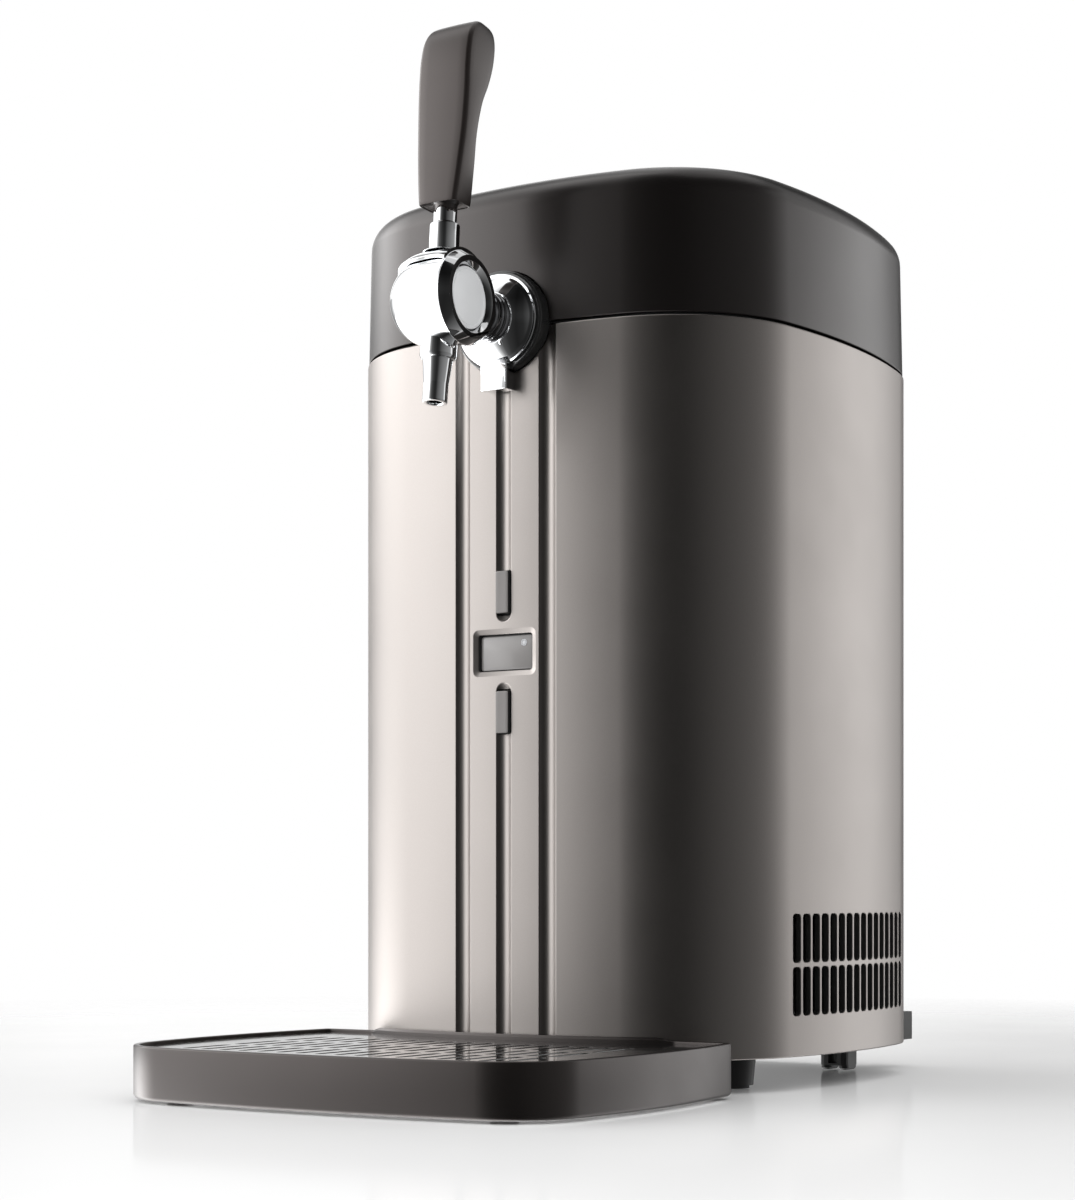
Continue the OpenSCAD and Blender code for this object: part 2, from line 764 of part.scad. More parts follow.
module tap_barrel() {
    bore_end = barrel_left + barrel_wall;
    color(chrome) at_tap() difference() {
        union() {
            turned(concat(barrel_profile(0),
                          [[barrel_r, barrel_right - 0.6], [barrel_r - 0.6, barrel_right],
                           [0, barrel_right]]));
            rotate([-90, 0, 0]) cylinder(r = shank_r - 1, h = shank_start - tap_y);
        }
        translate([bore_end, 0, 0]) rotate([0, 90, 0])
            cylinder(r = plug_r + running, h = barrel_right - bore_end + 1);
        along_y(channel_r, 0, 60);
        rotate([-spout_lean, 0, 0]) translate([0, 0, -60]) cylinder(r = channel_r, h = 60);
    }
}

module spout() {
    tip = barrel_r + spout_l;
    straight = 9;
    color(chrome) at_tap() difference() {
        rotate([-spout_lean, 0, 0]) mirror([0, 0, 1]) difference() {
            rotate_extrude() polygon([[0, barrel_r - 5], [8.7, barrel_r - 5], [8.7, barrel_r + 6],
                                      [7.6, barrel_r + 7.4], [7.1, barrel_r + 7.4],
                                      [spout_r, tip - straight], [spout_r, tip - 0.6],
                                      [spout_r - 0.6, tip], [0, tip]]);
            cylinder(r = channel_r, h = tip + 1);
        }
        rotate([0, 90, 0]) cylinder(r = barrel_r, h = 60, center = true);
    }
}

// The lever's frame: the barrel's middle, leaning to the back
module at_lever() {
    at_tap() rotate([-lever_lean, 0, 0]) children();
}

module valve_plug() {
    left = barrel_left + barrel_wall + 0.4;
    head = cheek_x + cheek_t;
    color(chrome) at_lever() difference() {
        turned([[0, left], [plug_r - 0.8, left], [plug_r, left + 0.8], [plug_r, left + 3],
                [plug_r - 1.2, left + 3], [plug_r - 1.2, left + 5], [plug_r, left + 5],
                [plug_r, barrel_right - 4], [plug_r - 1.2, barrel_right - 4],
                [plug_r - 1.2, barrel_right - 2], [plug_r, barrel_right - 2],
                [plug_r, cheek_x], [8, cheek_x], [8, head], [plug_head_r, head],
                [plug_head_r, head + 1.2], [plug_head_r - 0.8, head + 2], [0, head + 2]]);
        // The two arms of the beer's way, which meet the shank and the spout when the lever is down
        rotate([lever_lean - lever_turn, 0, 0]) {
            rotate([-90, 0, 0]) cylinder(r = channel_r, h = 30);
            translate([0, 0, -30]) cylinder(r = channel_r, h = 30);
        }
    }
}

module plug_seals() {
    left = barrel_left + barrel_wall + 0.4;
    color(black) at_lever() for (x = [left + 3.1, barrel_right - 3.9])
        turned([[plug_r - 1.15, x], [plug_r + 0.02, x], [plug_r + 0.02, x + 1.8],
                [plug_r - 1.15, x + 1.8]]);
}

// A cap over the barrel's top with an arched lower edge, and a cheek at its right end
module lever_saddle() {
    inner = barrel_r + saddle_gap;
    outer = inner + saddle_t;
    arch_r = 20;
    right = cheek_x + cheek_t;
    color(chrome) at_lever() difference() {
        union() {
            intersection() {
                difference() {
                    turned(concat(barrel_profile(saddle_gap + saddle_t),
                                  [[outer, right - 0.8], [outer - 0.8, right], [0, right]]));
                    turned(concat(barrel_profile(saddle_gap), [[inner, cheek_x], [0, cheek_x]]));
                    translate([0, 60, outer - saddle_t - arch_r]) rotate([90, 0, 0])
                        cylinder(r = arch_r, h = 120);
                }
                translate([-40, -40, 12]) cube([80, 80, 40]);
            }
            translate([cheek_x, 0, 0]) rotate([0, 90, 0]) cylinder(r = barrel_r + 0.4, h = cheek_t);
            translate([0, 0, inner + 0.3]) cylinder(r1 = ferrule_r + 2, r2 = ferrule_r, h = saddle_t);
            translate([0, 0, inner + 0.3]) cylinder(r = stem_r, h = 12);
        }
        rotate([0, 90, 0]) cylinder(r = 8.05, h = 40);
    }
}

module lever_rod() {
    foot = barrel_r + saddle_gap + saddle_t + 0.3;
    color(chrome) at_lever() difference() {
        rotate_extrude() polygon([[0, foot], [ferrule_r, foot], [ferrule_r, foot + ferrule_l],
                                  [rod_r, foot + ferrule_l + 0.6],
                                  [rod_r, handle_rise + handle_bore_l],
                                  [0, handle_rise + handle_bore_l]]);
        translate([0, 0, foot - 1]) cylinder(r = stem_r + 0.05, h = 12);
    }
}

// ---- Handle: slices from its foot to its crown ----
// Each slice gives its front and back edge as [Y, share of the height], and its width
handle_slices = [
    [[-7.2, 0.000], [5.7, 0.000], 18.2],
    [[-7.7, 0.008], [6.2, 0.008], 19.2],
    [[-7.6, 0.20], [6.0, 0.20], 22.4],
    [[-7.4, 0.38], [6.0, 0.37], 24.6],
    [[-6.8, 0.555], [8.7, 0.53], 26.6],
    [[-6.1, 0.68], [13.2, 0.65], 27.3],
    [[-4.7, 0.77], [15.9, 0.75], 27.3],
    [[-2.0, 0.84], [17.2, 0.83], 26.5],
    [[1.8, 0.895], [17.5, 0.895], 24.8],
    [[5.8, 0.938], [17.2, 0.945], 21.8],
    [[9.4, 0.967], [16.2, 0.977], 17],
    [[12.2, 0.988], [14.8, 0.992], 9.5]];

// Nearer 0 is crisper at the corners
function squared(a) = sign(a) * pow(abs(a), 0.42);
function handle_ring(slice, n = 24) =
    let (front = slice[0], back = slice[1])
    [for (i = [0 : n - 1])
        let (a = (i + 0.5) * 360 / n, s = squared(sin(a)),
             share = (front.y + back.y) / 2 + s * (back.y - front.y) / 2)
        [slice[2] / 2 * squared(cos(a)), (front.x + back.x) / 2 + s * (back.x - front.x) / 2,
         handle_rise + handle_h * share]];

module handle() {
    color(lid_grey) at_lever() difference() {
        loft([for (slice = handle_slices) handle_ring(slice)]);
        translate([0, 0, handle_rise - 1]) cylinder(r = rod_r + 0.05, h = handle_bore_l + 1.2);
    }
}

// ---- Beer line ----
module hose_barb() {
    color(steel) translate([0, 0, tap_z]) difference() {
        along_y(barb_r - 0.05, shank_end - 7.9, barb_l - 0.1);
        along_y(2.5, shank_end - 9, barb_l + 2);
    }
}

// The line leaves the shank, turns back in a half circle as it climbs, and drops to the coupler
line_path = concat(
    [[0, line_start, tap_z], [0, line_start + 2.5, tap_z]],
    [for (a = [0 : 15 : 180])
        [turn_r * (cos(a) - 1), turn_y + turn_r * sin(a),
         tap_z + (rise_to - tap_z) * (1 - cos(a)) / 2]],
    [for (a = [18 : 18 : 90])
        [park_x, turn_y - drop_r * sin(a), rise_to - drop_r * (1 - cos(a))]]);

function unit(v) = v / norm(v);
function way(path, i) = i == 0 ? unit(path[1] - path[0]) :
    i == len(path) - 1 ? [0, 0, -1] : unit(path[i + 1] - path[i - 1]);
function hose_ring(p, t, r, n = 10) =
    let (side = unit(cross(t, [1, 0, 1])), up = cross(side, t))
    [for (i = [0 : n - 1]) p + r * (cos(i * 360 / n) * side + sin(i * 360 / n) * up)];

module beer_line() {
    color(hose_white) loft([for (i = [0 : len(line_path) - 1])
        hose_ring(line_path[i], way(line_path, i), line_r)]);
}

module keg_coupler() {
    color(black) translate([park_x, park_y, 0]) difference() {
        rotate_extrude() polygon([[0, deck_top - 12.7], [park_r - 0.3, deck_top - 12.7],
                                  [park_r - 0.3, deck_top + 0.3], [park_r + 2.6, deck_top + 0.3],
                                  [park_r + 2.6, deck_top + 6], [park_r - 4, deck_top + 9],
                                  [line_r + 1, deck_top + 10], [line_r + 1, coupler_top - 0.1],
                                  [0, coupler_top - 0.1]]);
        translate([0, 0, deck_top - 14]) cylinder(r = 6, h = 12);
    }
}

// ---- Lid ----
lid_inset = 0.6;
lid_z = seam_z + seam_gap;
lid_top = seam_z + lid_h;
edge_steps = 6;
liner_t = 2;
liner_ceiling = lid_top - 26;

function lid_rings(inset, top, edge, draft, z0) = concat(
    [[inset, z0]],
    [for (k = [0 : edge_steps]) let (a = 90 * k / edge_steps)
        [inset + draft + edge * (1 - cos(a)), top - edge + edge * sin(a)]]);

function raised(ring) = [for (p = oval(ring[0])) [p.x, p.y, ring[1]]];

// A hollow cap: its skin runs down the inside, across its lower edge and up the outside
module cap_shell(outside, inside) {
    loft([for (ring = concat(backwards(inside), outside)) raised(ring)]);
}

module tap_notch(r) {
    translate([0, 0, tap_z]) along_y(r, front_y - 10, 30);
}

module lid_shell() {
    color(lid_grey) difference() {
        cap_shell(lid_rings(lid_inset, lid_top, lid_edge_r, lid_draft, lid_z),
                  lid_rings(lid_inset + lid_wall, lid_top - lid_wall, lid_edge_r - lid_wall,
                            lid_draft, lid_z));
        tap_notch(collar_r + fit);
        for (side = [-1, 1]) translate([side * flap_screw_x, 0, flap_screw_z])
            along_y(screw_r, back_y - 14, 20);
    }
}

module lid_liner() {
    start = lid_inset + lid_wall + lid_draft + fit;
    color(liner_grey) difference() {
        cap_shell([[start, lid_z], [start + 1, liner_ceiling - 10], [start + 4, liner_ceiling - 2],
                   [start + 9, liner_ceiling]],
                  [[start + liner_t, lid_z], [start + 1 + liner_t, liner_ceiling - 10],
                   [start + 4 + liner_t, liner_ceiling - 2 - liner_t],
                   [start + 9 + liner_t, liner_ceiling - liner_t]]);
        tap_notch(collar_r + 1);
    }
}

module lid_insulation() {
    color(foam) oval_plate(lid_edge_r + 4, liner_ceiling + 0.3, lid_top - lid_wall - liner_ceiling - 0.6);
}

module lid_gasket() {
    start = lid_inset + lid_wall;
    color(black) difference() {
        oval_ring(start, start + 3.2, seam_z - 0.3, lid_z - seam_z + 0.3);
        tap_notch(collar_r + 1);
    }
}

// ---- Lid hinge ----
// A plate that follows the back of the housing, between two levels
module back_leaf(inset, half, z0, z1, thick) {
    intersection() {
        oval_ring(inset - thick, inset, z0, z1 - z0);
        translate([-half, back_y - 30, z0 - 1]) cube([2 * half, 60, z1 - z0 + 2]);
    }
}

// A block from the back of the housing to the hinge's axis
module web(inset, x0, x1, z0, z1) {
    difference() {
        translate([x0, back_y - 10, z0]) cube([x1 - x0, hinge_y - back_y + 10, z1 - z0]);
        oval_plate(inset, z0 - 1, z1 - z0 + 2);
    }
}

module knuckle(x0, x1) {
    translate([x0, hinge_y, hinge_z]) rotate([0, 90, 0]) cylinder(r = hinge_r, h = x1 - x0);
}

module hinge_bore() {
    translate([0, hinge_y, hinge_z]) rotate([0, 90, 0])
        cylinder(r = pin_r + running, h = hinge_l + 2, center = true);
}

module hinge_base() {
    in_x = hinge_l / 2 - knuckle_l;
    color(black) difference() {
        union() {
            back_leaf(0, hinge_l / 2, seam_z - leaf_h, hinge_z - hinge_r - 1, leaf_t);
            for (side = [0, 1]) mirror([side, 0, 0]) {
                knuckle(in_x, hinge_l / 2);
                web(0, in_x, hinge_l / 2, hinge_z - 9, hinge_z);
            }
        }
        hinge_bore();
        for (side = [-1, 1]) translate([side * hinge_screw_x, 0, hinge_screw_z])
            along_y(screw_r, back_y - 12, 30);
    }
}

module hinge_flap() {
    half = hinge_l / 2 - knuckle_l - fit;
    color(black) difference() {
        union() {
            back_leaf(lid_inset, half, hinge_z + 1, seam_z + leaf_h, leaf_t);
            knuckle(-half, half);
            web(lid_inset, -half, half, hinge_z, hinge_z + 9);
        }
        hinge_bore();
        for (side = [-1, 1]) translate([side * flap_screw_x, 0, flap_screw_z])
            along_y(screw_r, back_y - 12, 30);
    }
}

module hinge_pin() {
    color(steel) translate([0, hinge_y, hinge_z]) rotate([0, 90, 0])
        cylinder(r = pin_r, h = hinge_l, center = true);
}

module back_screw(x, z, inset, length) {
    head_y = back_at(x, inset) + leaf_t + 0.4;
    translate([x, 0, z]) {
        along_y(screw_r - 0.1, head_y - length, length);
        along_y(3, head_y, 1.6);
    }
}

module hinge_base_screws() {
    color(steel) for (side = [-1, 1])
        back_screw(side * hinge_screw_x, hinge_screw_z, 0, leaf_t + wall + 3);
}

module hinge_flap_screws() {
    color(steel) for (side = [-1, 1])
        back_screw(side * flap_screw_x, flap_screw_z, lid_inset, leaf_t + lid_wall + 1);
}

// ---- Drip tray ----
tray_half_w = body_w / 2 - tray_in;
tray_base = 0.8;
tray_floor_t = 2.4;
tray_front_r = 700;
tray_corner_r = 38;
tray_side_r = 420;
tray_side_y = front_y - 0.37 * tray_reach;
tray_tip = 15;
tray_gap = 1.2;
grid_t = 2.5;
grid_top = tray_h - 1.5;
tray_lip = 1.6;
tray_front_c = [0, front_y - tray_reach + tray_front_r];
tray_side_c = [tray_half_w - tray_side_r, tray_side_y];
tray_corner_c = circles_meet(tray_front_c, tray_front_r - tray_corner_r,
                             tray_side_c, tray_side_r - tray_corner_r);

// The tray's plan without the housing's hollow, moved in by inset
function tray_plan(inset) =
    let (a1 = angle_of(tray_corner_c - tray_front_c), a2 = angle_of(tray_corner_c - tray_side_c),
         a3 = asin((front_y + tray_tip - inset - tray_side_y) / (tray_side_r - inset)),
         half = concat(arc(tray_front_c, tray_front_r - inset, -90, a1, 6),
                       tail(arc(tray_corner_c, tray_corner_r - inset, a1, a2, 10)),
                       tail(arc(tray_side_c, tray_side_r - inset, a2, a3, 8))))
    concat(half, [for (p = backwards(tail(half))) [-p.x, p.y]]);

// A slab of the tray's plan, moved in by inset from its edge and by back from the housing
module tray_slab(inset, back, z, h) {
    translate([0, 0, z]) linear_extrude(h) difference() {
        polygon(tray_plan(inset));
        polygon(oval(-tray_gap - back));
    }
}

module drip_tray() {
    color(tray_grey) difference() {
        union() {
            tray_slab(0, 0, tray_base, tray_h - tray_base);
            // The raised lip along the housing
            intersection() {
                tray_slab(tray_wall, 0, tray_h - 1, tray_lip + 1);
                oval_plate(-tray_gap - tray_wall, tray_h - 1, tray_lip + 1);
            }
            // Two tongues that slide in under the housing
            for (side = [-1, 1]) translate([side * 38 - 9, front_y - 3, body_lift - fit - 6])
                cube([18, 22, 6]);
        }
        tray_slab(tray_wall, tray_wall, grid_top - grid_t - 0.3, 20);
        tray_slab(tray_wall + 2.5, tray_wall + 2.5, tray_base + tray_floor_t, 40);
    }
}

module drip_grid() {
    rows = 3;
    front = front_y - tray_reach + 24;
    back = front_y - 24;
    row_l = (back - front) / rows;
    columns = floor((tray_half_w - 30) / grid_pitch);
    color(black) difference() {
        tray_slab(tray_wall + 0.6, tray_wall + 0.6, grid_top - grid_t, grid_t);
        for (i = [-columns : columns], row = [0 : rows - 1])
            translate([i * grid_pitch, front + (row + 0.5) * row_l, grid_top - grid_t - 1])
                linear_extrude(grid_t + 2)
                    polygon(rounded(grid_slot_w, row_l - 6, grid_slot_w / 2 - 0.1, 2));
    }
}

module tray_pads() {
    color(black) for (side = [-1, 1], y = [front_y - tray_reach + 26, front_y - 22])
        translate([side * (tray_half_w - 36), y, 0]) cylinder(r = 6, h = tray_base);
}

outer_housing();
base_pan();
base_screws();
front_feet();
foot_pads();
rear_feet();
top_frame();
keg_well();
well_insulation();
cold_block();
peltier_module();
heat_sink();
cooler_screws();
fan_frame();
fan_rotor();
rear_grille();
grille_screws();
power_inlet();
power_board();
control_board();
display_module();
display_window();
button_upper();
button_lower();
button_switches();
tap_collar();
tap_flange();
tap_shank();
tap_nut();
tap_barrel();
spout();
valve_plug();
plug_seals();
lever_saddle();
lever_rod();
handle();
hose_barb();
beer_line();
keg_coupler();
lid_shell();
lid_liner();
lid_insulation();
lid_gasket();
hinge_base();
hinge_flap();
hinge_pin();
hinge_base_screws();
hinge_flap_screws();
drip_tray();
drip_grid();
tray_pads();
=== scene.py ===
"""Mini keg beer dispenser: the looks round its packed construction.

The frame holds every piece at its real size and place, in metres, front along -Y. Each operator
here makes one piece, or one group of like pieces, as a finer mesh in the same place, or gives
the frame's own pieces their finish. The stage comes first, then the pieces from the outside in.
"""

import json
import math

import bmesh
import bpy
from mathutils import Matrix, Vector


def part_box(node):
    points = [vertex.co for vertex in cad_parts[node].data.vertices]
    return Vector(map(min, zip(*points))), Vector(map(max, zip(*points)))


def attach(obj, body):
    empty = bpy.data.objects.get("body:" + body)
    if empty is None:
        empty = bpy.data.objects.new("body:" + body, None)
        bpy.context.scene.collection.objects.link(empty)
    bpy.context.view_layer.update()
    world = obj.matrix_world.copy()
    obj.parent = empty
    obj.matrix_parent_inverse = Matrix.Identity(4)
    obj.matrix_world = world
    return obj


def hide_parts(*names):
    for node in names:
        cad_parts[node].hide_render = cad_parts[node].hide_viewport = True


bl_info = {
    "name": "Mini keg beer dispenser",
    "version": (1, 0, 0),
    "blender": (4, 5, 0),
    "location": "3D View > Sidebar > Keg dispenser",
    "description": "Builds the looks of a cooled mini keg dispenser with a lever tap and drip tray",
    "category": "Object",
}

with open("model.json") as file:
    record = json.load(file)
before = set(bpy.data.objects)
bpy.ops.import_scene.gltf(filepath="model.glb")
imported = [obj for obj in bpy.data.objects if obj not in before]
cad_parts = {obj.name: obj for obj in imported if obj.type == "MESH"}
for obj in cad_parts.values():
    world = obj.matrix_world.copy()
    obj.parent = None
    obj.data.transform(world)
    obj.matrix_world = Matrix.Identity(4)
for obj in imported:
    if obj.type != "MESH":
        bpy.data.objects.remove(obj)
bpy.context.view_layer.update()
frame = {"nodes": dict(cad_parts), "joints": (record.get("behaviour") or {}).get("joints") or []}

HOUSE_LOW, HOUSE_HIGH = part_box("outer_housing")
LID_LOW, LID_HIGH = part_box("lid_shell")
TRAY_LOW, TRAY_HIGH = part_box("drip_tray")
GRID_LOW, GRID_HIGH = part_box("drip_grid")
PLUG_LOW, PLUG_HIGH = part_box("valve_plug")
COLLAR_LOW, COLLAR_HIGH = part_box("tap_collar")
SHANK_LOW, SHANK_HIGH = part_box("tap_shank")
BARREL_LOW, BARREL_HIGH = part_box("tap_barrel")
FLANGE_LOW, SPOUT_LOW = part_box("tap_flange")[0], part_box("spout")[0]
WINDOW_LOW, WINDOW_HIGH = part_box("display_window")
UPPER_LOW, UPPER_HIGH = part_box("button_upper")
LOWER_LOW, LOWER_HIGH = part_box("button_lower")

HOUSE_MIDDLE_Y = (HOUSE_LOW.y + HOUSE_HIGH.y) / 2
LEVER_PIVOT = Vector(next(j for j in frame["joints"] if j["name"] == "tap_lever")["pos_m"])
MM = 0.001
UP = Vector((0, 0, 1))
# The gap round the tap's collar, and how far the shells' seam lies from the back's middle
NOTCH_GAP, SEAM_SHIFT = 0.3 * MM, 0.05
# Points of a mesh that lie this near each other are joined
WELD = 2e-6


# ---- Sizes and colours that a user would change ----

def length(name, description, default, low=0.0, high=2.0):
    """A length in metres, as a property."""
    return bpy.props.FloatProperty(name=name, description=description, default=default,
                                   min=low, max=high, unit="LENGTH", subtype="DISTANCE", precision=4)


def share(name, description, default, low=0.0, high=1.0):
    """A plain number, as a property."""
    return bpy.props.FloatProperty(name=name, description=description, default=default,
                                   min=low, max=high, precision=3)


def angle(name, description, degrees):
    """An angle, as a property."""
    return bpy.props.FloatProperty(name=name, description=description,
                                   default=math.radians(degrees), subtype="ANGLE", unit="ROTATION")


def paint(name, description, default):
    """A colour, as a property."""
    return bpy.props.FloatVectorProperty(name=name, description=description, default=default,
                                         size=3, min=0.0, max=1.0, subtype="COLOR")


class HousingSizes(bpy.types.PropertyGroup):
    """The oval housing's plan, its grooves and its vents"""

    front_r: length("Front radius", "Radius of the front and back faces in plan", 0.314)
    side_r: length("Side radius", "Radius of the side faces in plan", 0.363)
    corner_r: length("Corner radius", "Radius of the four corners in plan", 0.077)
    wall: length("Wall", "Thickness of the housing's shell", 0.0032)
    edge_r: length("Edge rounding", "Rounding of the shell's free edges", 0.0007)
    groove_x: length("Groove distance", "Distance of the two long grooves from the middle", 0.0247)
    groove_w: length("Groove width", "Width of the two long grooves", 0.0092)
    groove_depth: length("Groove depth", "Depth of the long grooves", 0.0021)
    channel_w: length("Channel width", "Width of the middle channel", 0.0086)
    channel_nose: length("Channel end", "Length of the channel's run-out next to a button", 0.004)
    vent_count: bpy.props.IntProperty(name="Vent slots", description="Slots in one row",
                                      default=16, min=1, max=30)
    vent_pitch: length("Vent pitch", "Distance from slot to slot", 0.0083)
    vent_w: length("Vent width", "Width of a slot", 0.0062)
    vent_h: length("Vent height", "Height of a slot", 0.0238)
    vent_bar: length("Vent bar", "Height of the bar between the two rows", 0.0022)
    vent_top: length("Vent top", "Height of the upper row's top edge", 0.0859)
    vent_shift: length("Vent shift", "How far the rows lie behind the housing's middle", 0.0035)


class PanelSizes(bpy.types.PropertyGroup):
    """The display recess and the two buttons"""

    display_w: length("Recess width", "Width of the display recess", 0.037)
    display_h: length("Recess height", "Height of the display recess", 0.0235)
    recess_slope: angle("Recess slope", "Slope of the recess's wide rim", 25)
    recess_rim: length("Recess rim", "How deep the recess's wide rim goes", 0.0012)
    recess_corner: length("Recess corner", "Corner radius of the recess at the window", 0.0013)
    button_w: length("Button width", "Width of a button", 0.0078)
    button_h: length("Button height", "Height of a button", 0.021)
    button_draft: length("Button draft", "How far a button narrows towards its face", 0.0007)
    ring_r: length("Lamp ring", "Radius of the lamp's ring on the window", 0.0016)


class LidSizes(bpy.types.PropertyGroup):
    """The lid's shell"""

    wall: length("Wall", "Thickness of the lid's shell", 0.003)
    edge_r: length("Top edge", "Rounding of the lid's top edge", 0.014)
    rise: length("Rise", "How far the lid's top stands over the frame's plain one", 0.003)
    inset: length("Inset", "How far the lid's foot lies inside the housing's face", 0.0006)
    draft: length("Draft", "How far the side leans in over its height", 0.0012)
    crown: length("Crown", "How much the lid's top swells", 0.0009)


class TapSizes(bpy.types.PropertyGroup):
    """The turned and cast pieces of the tap"""

    barrel_r: length("Barrel radius", "Radius of the barrel", 0.0213)
    barrel_reach: length("Barrel reach", "How far the barrel's ball end reaches to the left", 0.0252)
    disc_depth: length("Disc depth", "How deep the plug's disc lies in the cheek's ring", 0.0024)
    cheek_r: length("Cheek radius", "Radius of the cheek at the barrel's right", 0.0222)
    cheek_flat: length("Cheek face", "Radius of the cheek's flat face, inside its chamfer", 0.0193)
    crest_r: length("Crest radius", "Radius of the cheek's crest round the disc", 0.0168)
    neck_r: length("Neck radius", "Radius of the shank inside the collar", 0.009)
    shank_r: length("Shank radius", "Radius of the shank in front of the flange", 0.0124)
    collar_r: length("Collar radius", "Radius of the black collar", 0.025)
    flange_r: length("Flange radius", "Radius of the chrome flange", 0.0227)
    tab_w: length("Tab width", "Width of the tab under the flange", 0.015)
    spout_r: length("Spout radius", "Radius of the spout's tip", 0.006)
    channel_r: length("Channel radius", "Radius of the beer's way", 0.0035)
    spout_lean: angle("Spout lean", "Lean of the spout to the front", 7)
    lever_lean: angle("Lever lean", "Lean of the lever to the back", 4)
    saddle_gap: length("Saddle gap", "Gap between the barrel and the saddle", 0.0004)
    saddle_t: length("Saddle thickness", "Thickness of the saddle", 0.0019)
    handle_rise: length("Handle rise", "Height of the handle's foot over the barrel's axis", 0.046)
    handle_h: length("Handle height", "Height of the handle", 0.092)


class TraySizes(bpy.types.PropertyGroup):
    """The drip tray and its grid"""

    front_r: length("Front radius", "Radius of the tray's front in plan", 0.7)
    corner_r: length("Corner radius", "Radius of the tray's front corners", 0.038)
    side_r: length("Side radius", "Radius of the tray's sides in plan", 0.42)
    tip: length("Tip", "How far the tray's sides reach back past the housing's front", 0.015)
    gap: length("Gap", "Gap between tray and housing", 0.0012)
    wall: length("Wall", "Thickness of the tray's wall", 0.003)
    edge_r: length("Edge rounding", "Rounding of the tray's upper edge", 0.0009)
    lip: length("Lip", "Height of the lip along the housing over the rim", 0.0016)
    slot_w: length("Slot width", "Width of a slot in the grid", 0.004)
    slot_pitch: length("Slot pitch", "Distance from slot to slot", 0.011)


class FinishColours(bpy.types.PropertyGroup):
    """Colours of the finishes"""

    body: paint("Body", "Satin metallic paint of the housing", (0.34, 0.315, 0.30))
    lid: paint("Lid", "Dark satin paint of the lid", (0.004, 0.0032, 0.003))
    handle: paint("Handle", "Dark grey of the handle", (0.01, 0.0075, 0.0065))
    tray: paint("Tray", "Dark warm grey of the tray", (0.006, 0.005, 0.0045))
    chrome: paint("Chrome", "Chrome plate", (0.86, 0.87, 0.88))
    dark_chrome: paint("Dark chrome", "Smoked chrome of the shank", (0.32, 0.32, 0.33))
    black: paint("Black", "Black moulded plastic", (0.012, 0.012, 0.012))
    button: paint("Button", "Grey of the buttons", (0.19, 0.18, 0.175))
    window: paint("Window", "Grey of the display's window", (0.23, 0.22, 0.215))
    steel: paint("Steel", "Zinc plated steel", (0.52, 0.53, 0.55))
    aluminium: paint("Aluminium", "Drawn and extruded aluminium", (0.72, 0.73, 0.74))
    foam: paint("Foam", "Expanded foam", (0.86, 0.84, 0.78))
    rubber: paint("Rubber", "Black rubber", (0.02, 0.02, 0.02))
    hose: paint("Hose", "Milky beer hose", (0.75, 0.72, 0.62))
    board: paint("Board", "Circuit board's green", (0.02, 0.11, 0.05))
    floor: paint("Floor", "The stage's floor", (0.8, 0.8, 0.8))


class StudioSetup(bpy.types.PropertyGroup):
    """Camera and lights"""

    camera_place: bpy.props.FloatVectorProperty(
        name="Camera", description="Place of the camera", size=3, unit="LENGTH",
        default=(0.6651, -1.0704, 0.0954), subtype="TRANSLATION")
    camera_turn: angle("Camera turn", "How far the camera stands round to the right", 32.44)
    lens: share("Lens", "Focal length in millimetres on a 36 mm wide sensor", 83.01, 10, 300)
    rise: share("Shift", "Shift of the picture upwards, as a share of its width", 0.2739, -1, 1)
    room_light: share("Room", "Brightness of the room's screens in reflections", 2.6, 0, 10)
    fill_light: share("Fill", "Brightness of the room on matt surfaces", 1.12, 0, 10)
    ceiling: share("Ceiling", "Brightness of the room overhead, as a share of its sides'", 0.3)
    backdrop_light: share("Backdrop", "Brightness of the backdrop that the camera sees", 1.0, 0, 10)
    key_power: share("Key light", "Power of the big soft light at the left", 6, 0, 1000)
    side_power: share("Side light", "Power of the soft light at the right", 3, 0, 1000)
    top_power: share("Top light", "Power of the soft light above", 6, 0, 1000)


# The room's screens and dark walls: degrees round from the front to the right, and brightness
ROOM = [(-144, 0.34), (-137, 0.34), (-130, 0.12), (-118, 0.14), (-106, 0.36), (-93, 0.82),
        (-60, 0.85), (-42, 0.8), (-30, 0.67), (-22, 0.34), (-14, 0.14), (-4, 0.045), (12, 0.018),
        (30, 0.008), (42, 0.012), (58, 0.045), (80, 0.075), (100, 0.1), (118, 0.13), (134, 0.27),
        (146, 0.68), (157, 0.97), (163, 0.97), (168, 0.45), (172, 0.04), (190, 0.02), (202, 0.1),
        (209, 0.34), (216, 0.34)]

# Where the screens are brighter or darker than that. Each patch fades in over these degrees round
# and over these heights, as the sine of the angle above the horizon, and has this gain.
PATCHES = [((-27, -75), (0.225, 0.25), 1.7), ((-55, -95), (-0.05, -0.07), 4.0),
           ((100, 125), (0.29, 0.32), -0.5)]

GROUPS = {"keg_housing": HousingSizes, "keg_panel": PanelSizes, "keg_lid": LidSizes,
          "keg_tap": TapSizes, "keg_tray": TraySizes, "keg_colours": FinishColours,
          "keg_studio": StudioSetup}


# ---- Shader maths ----

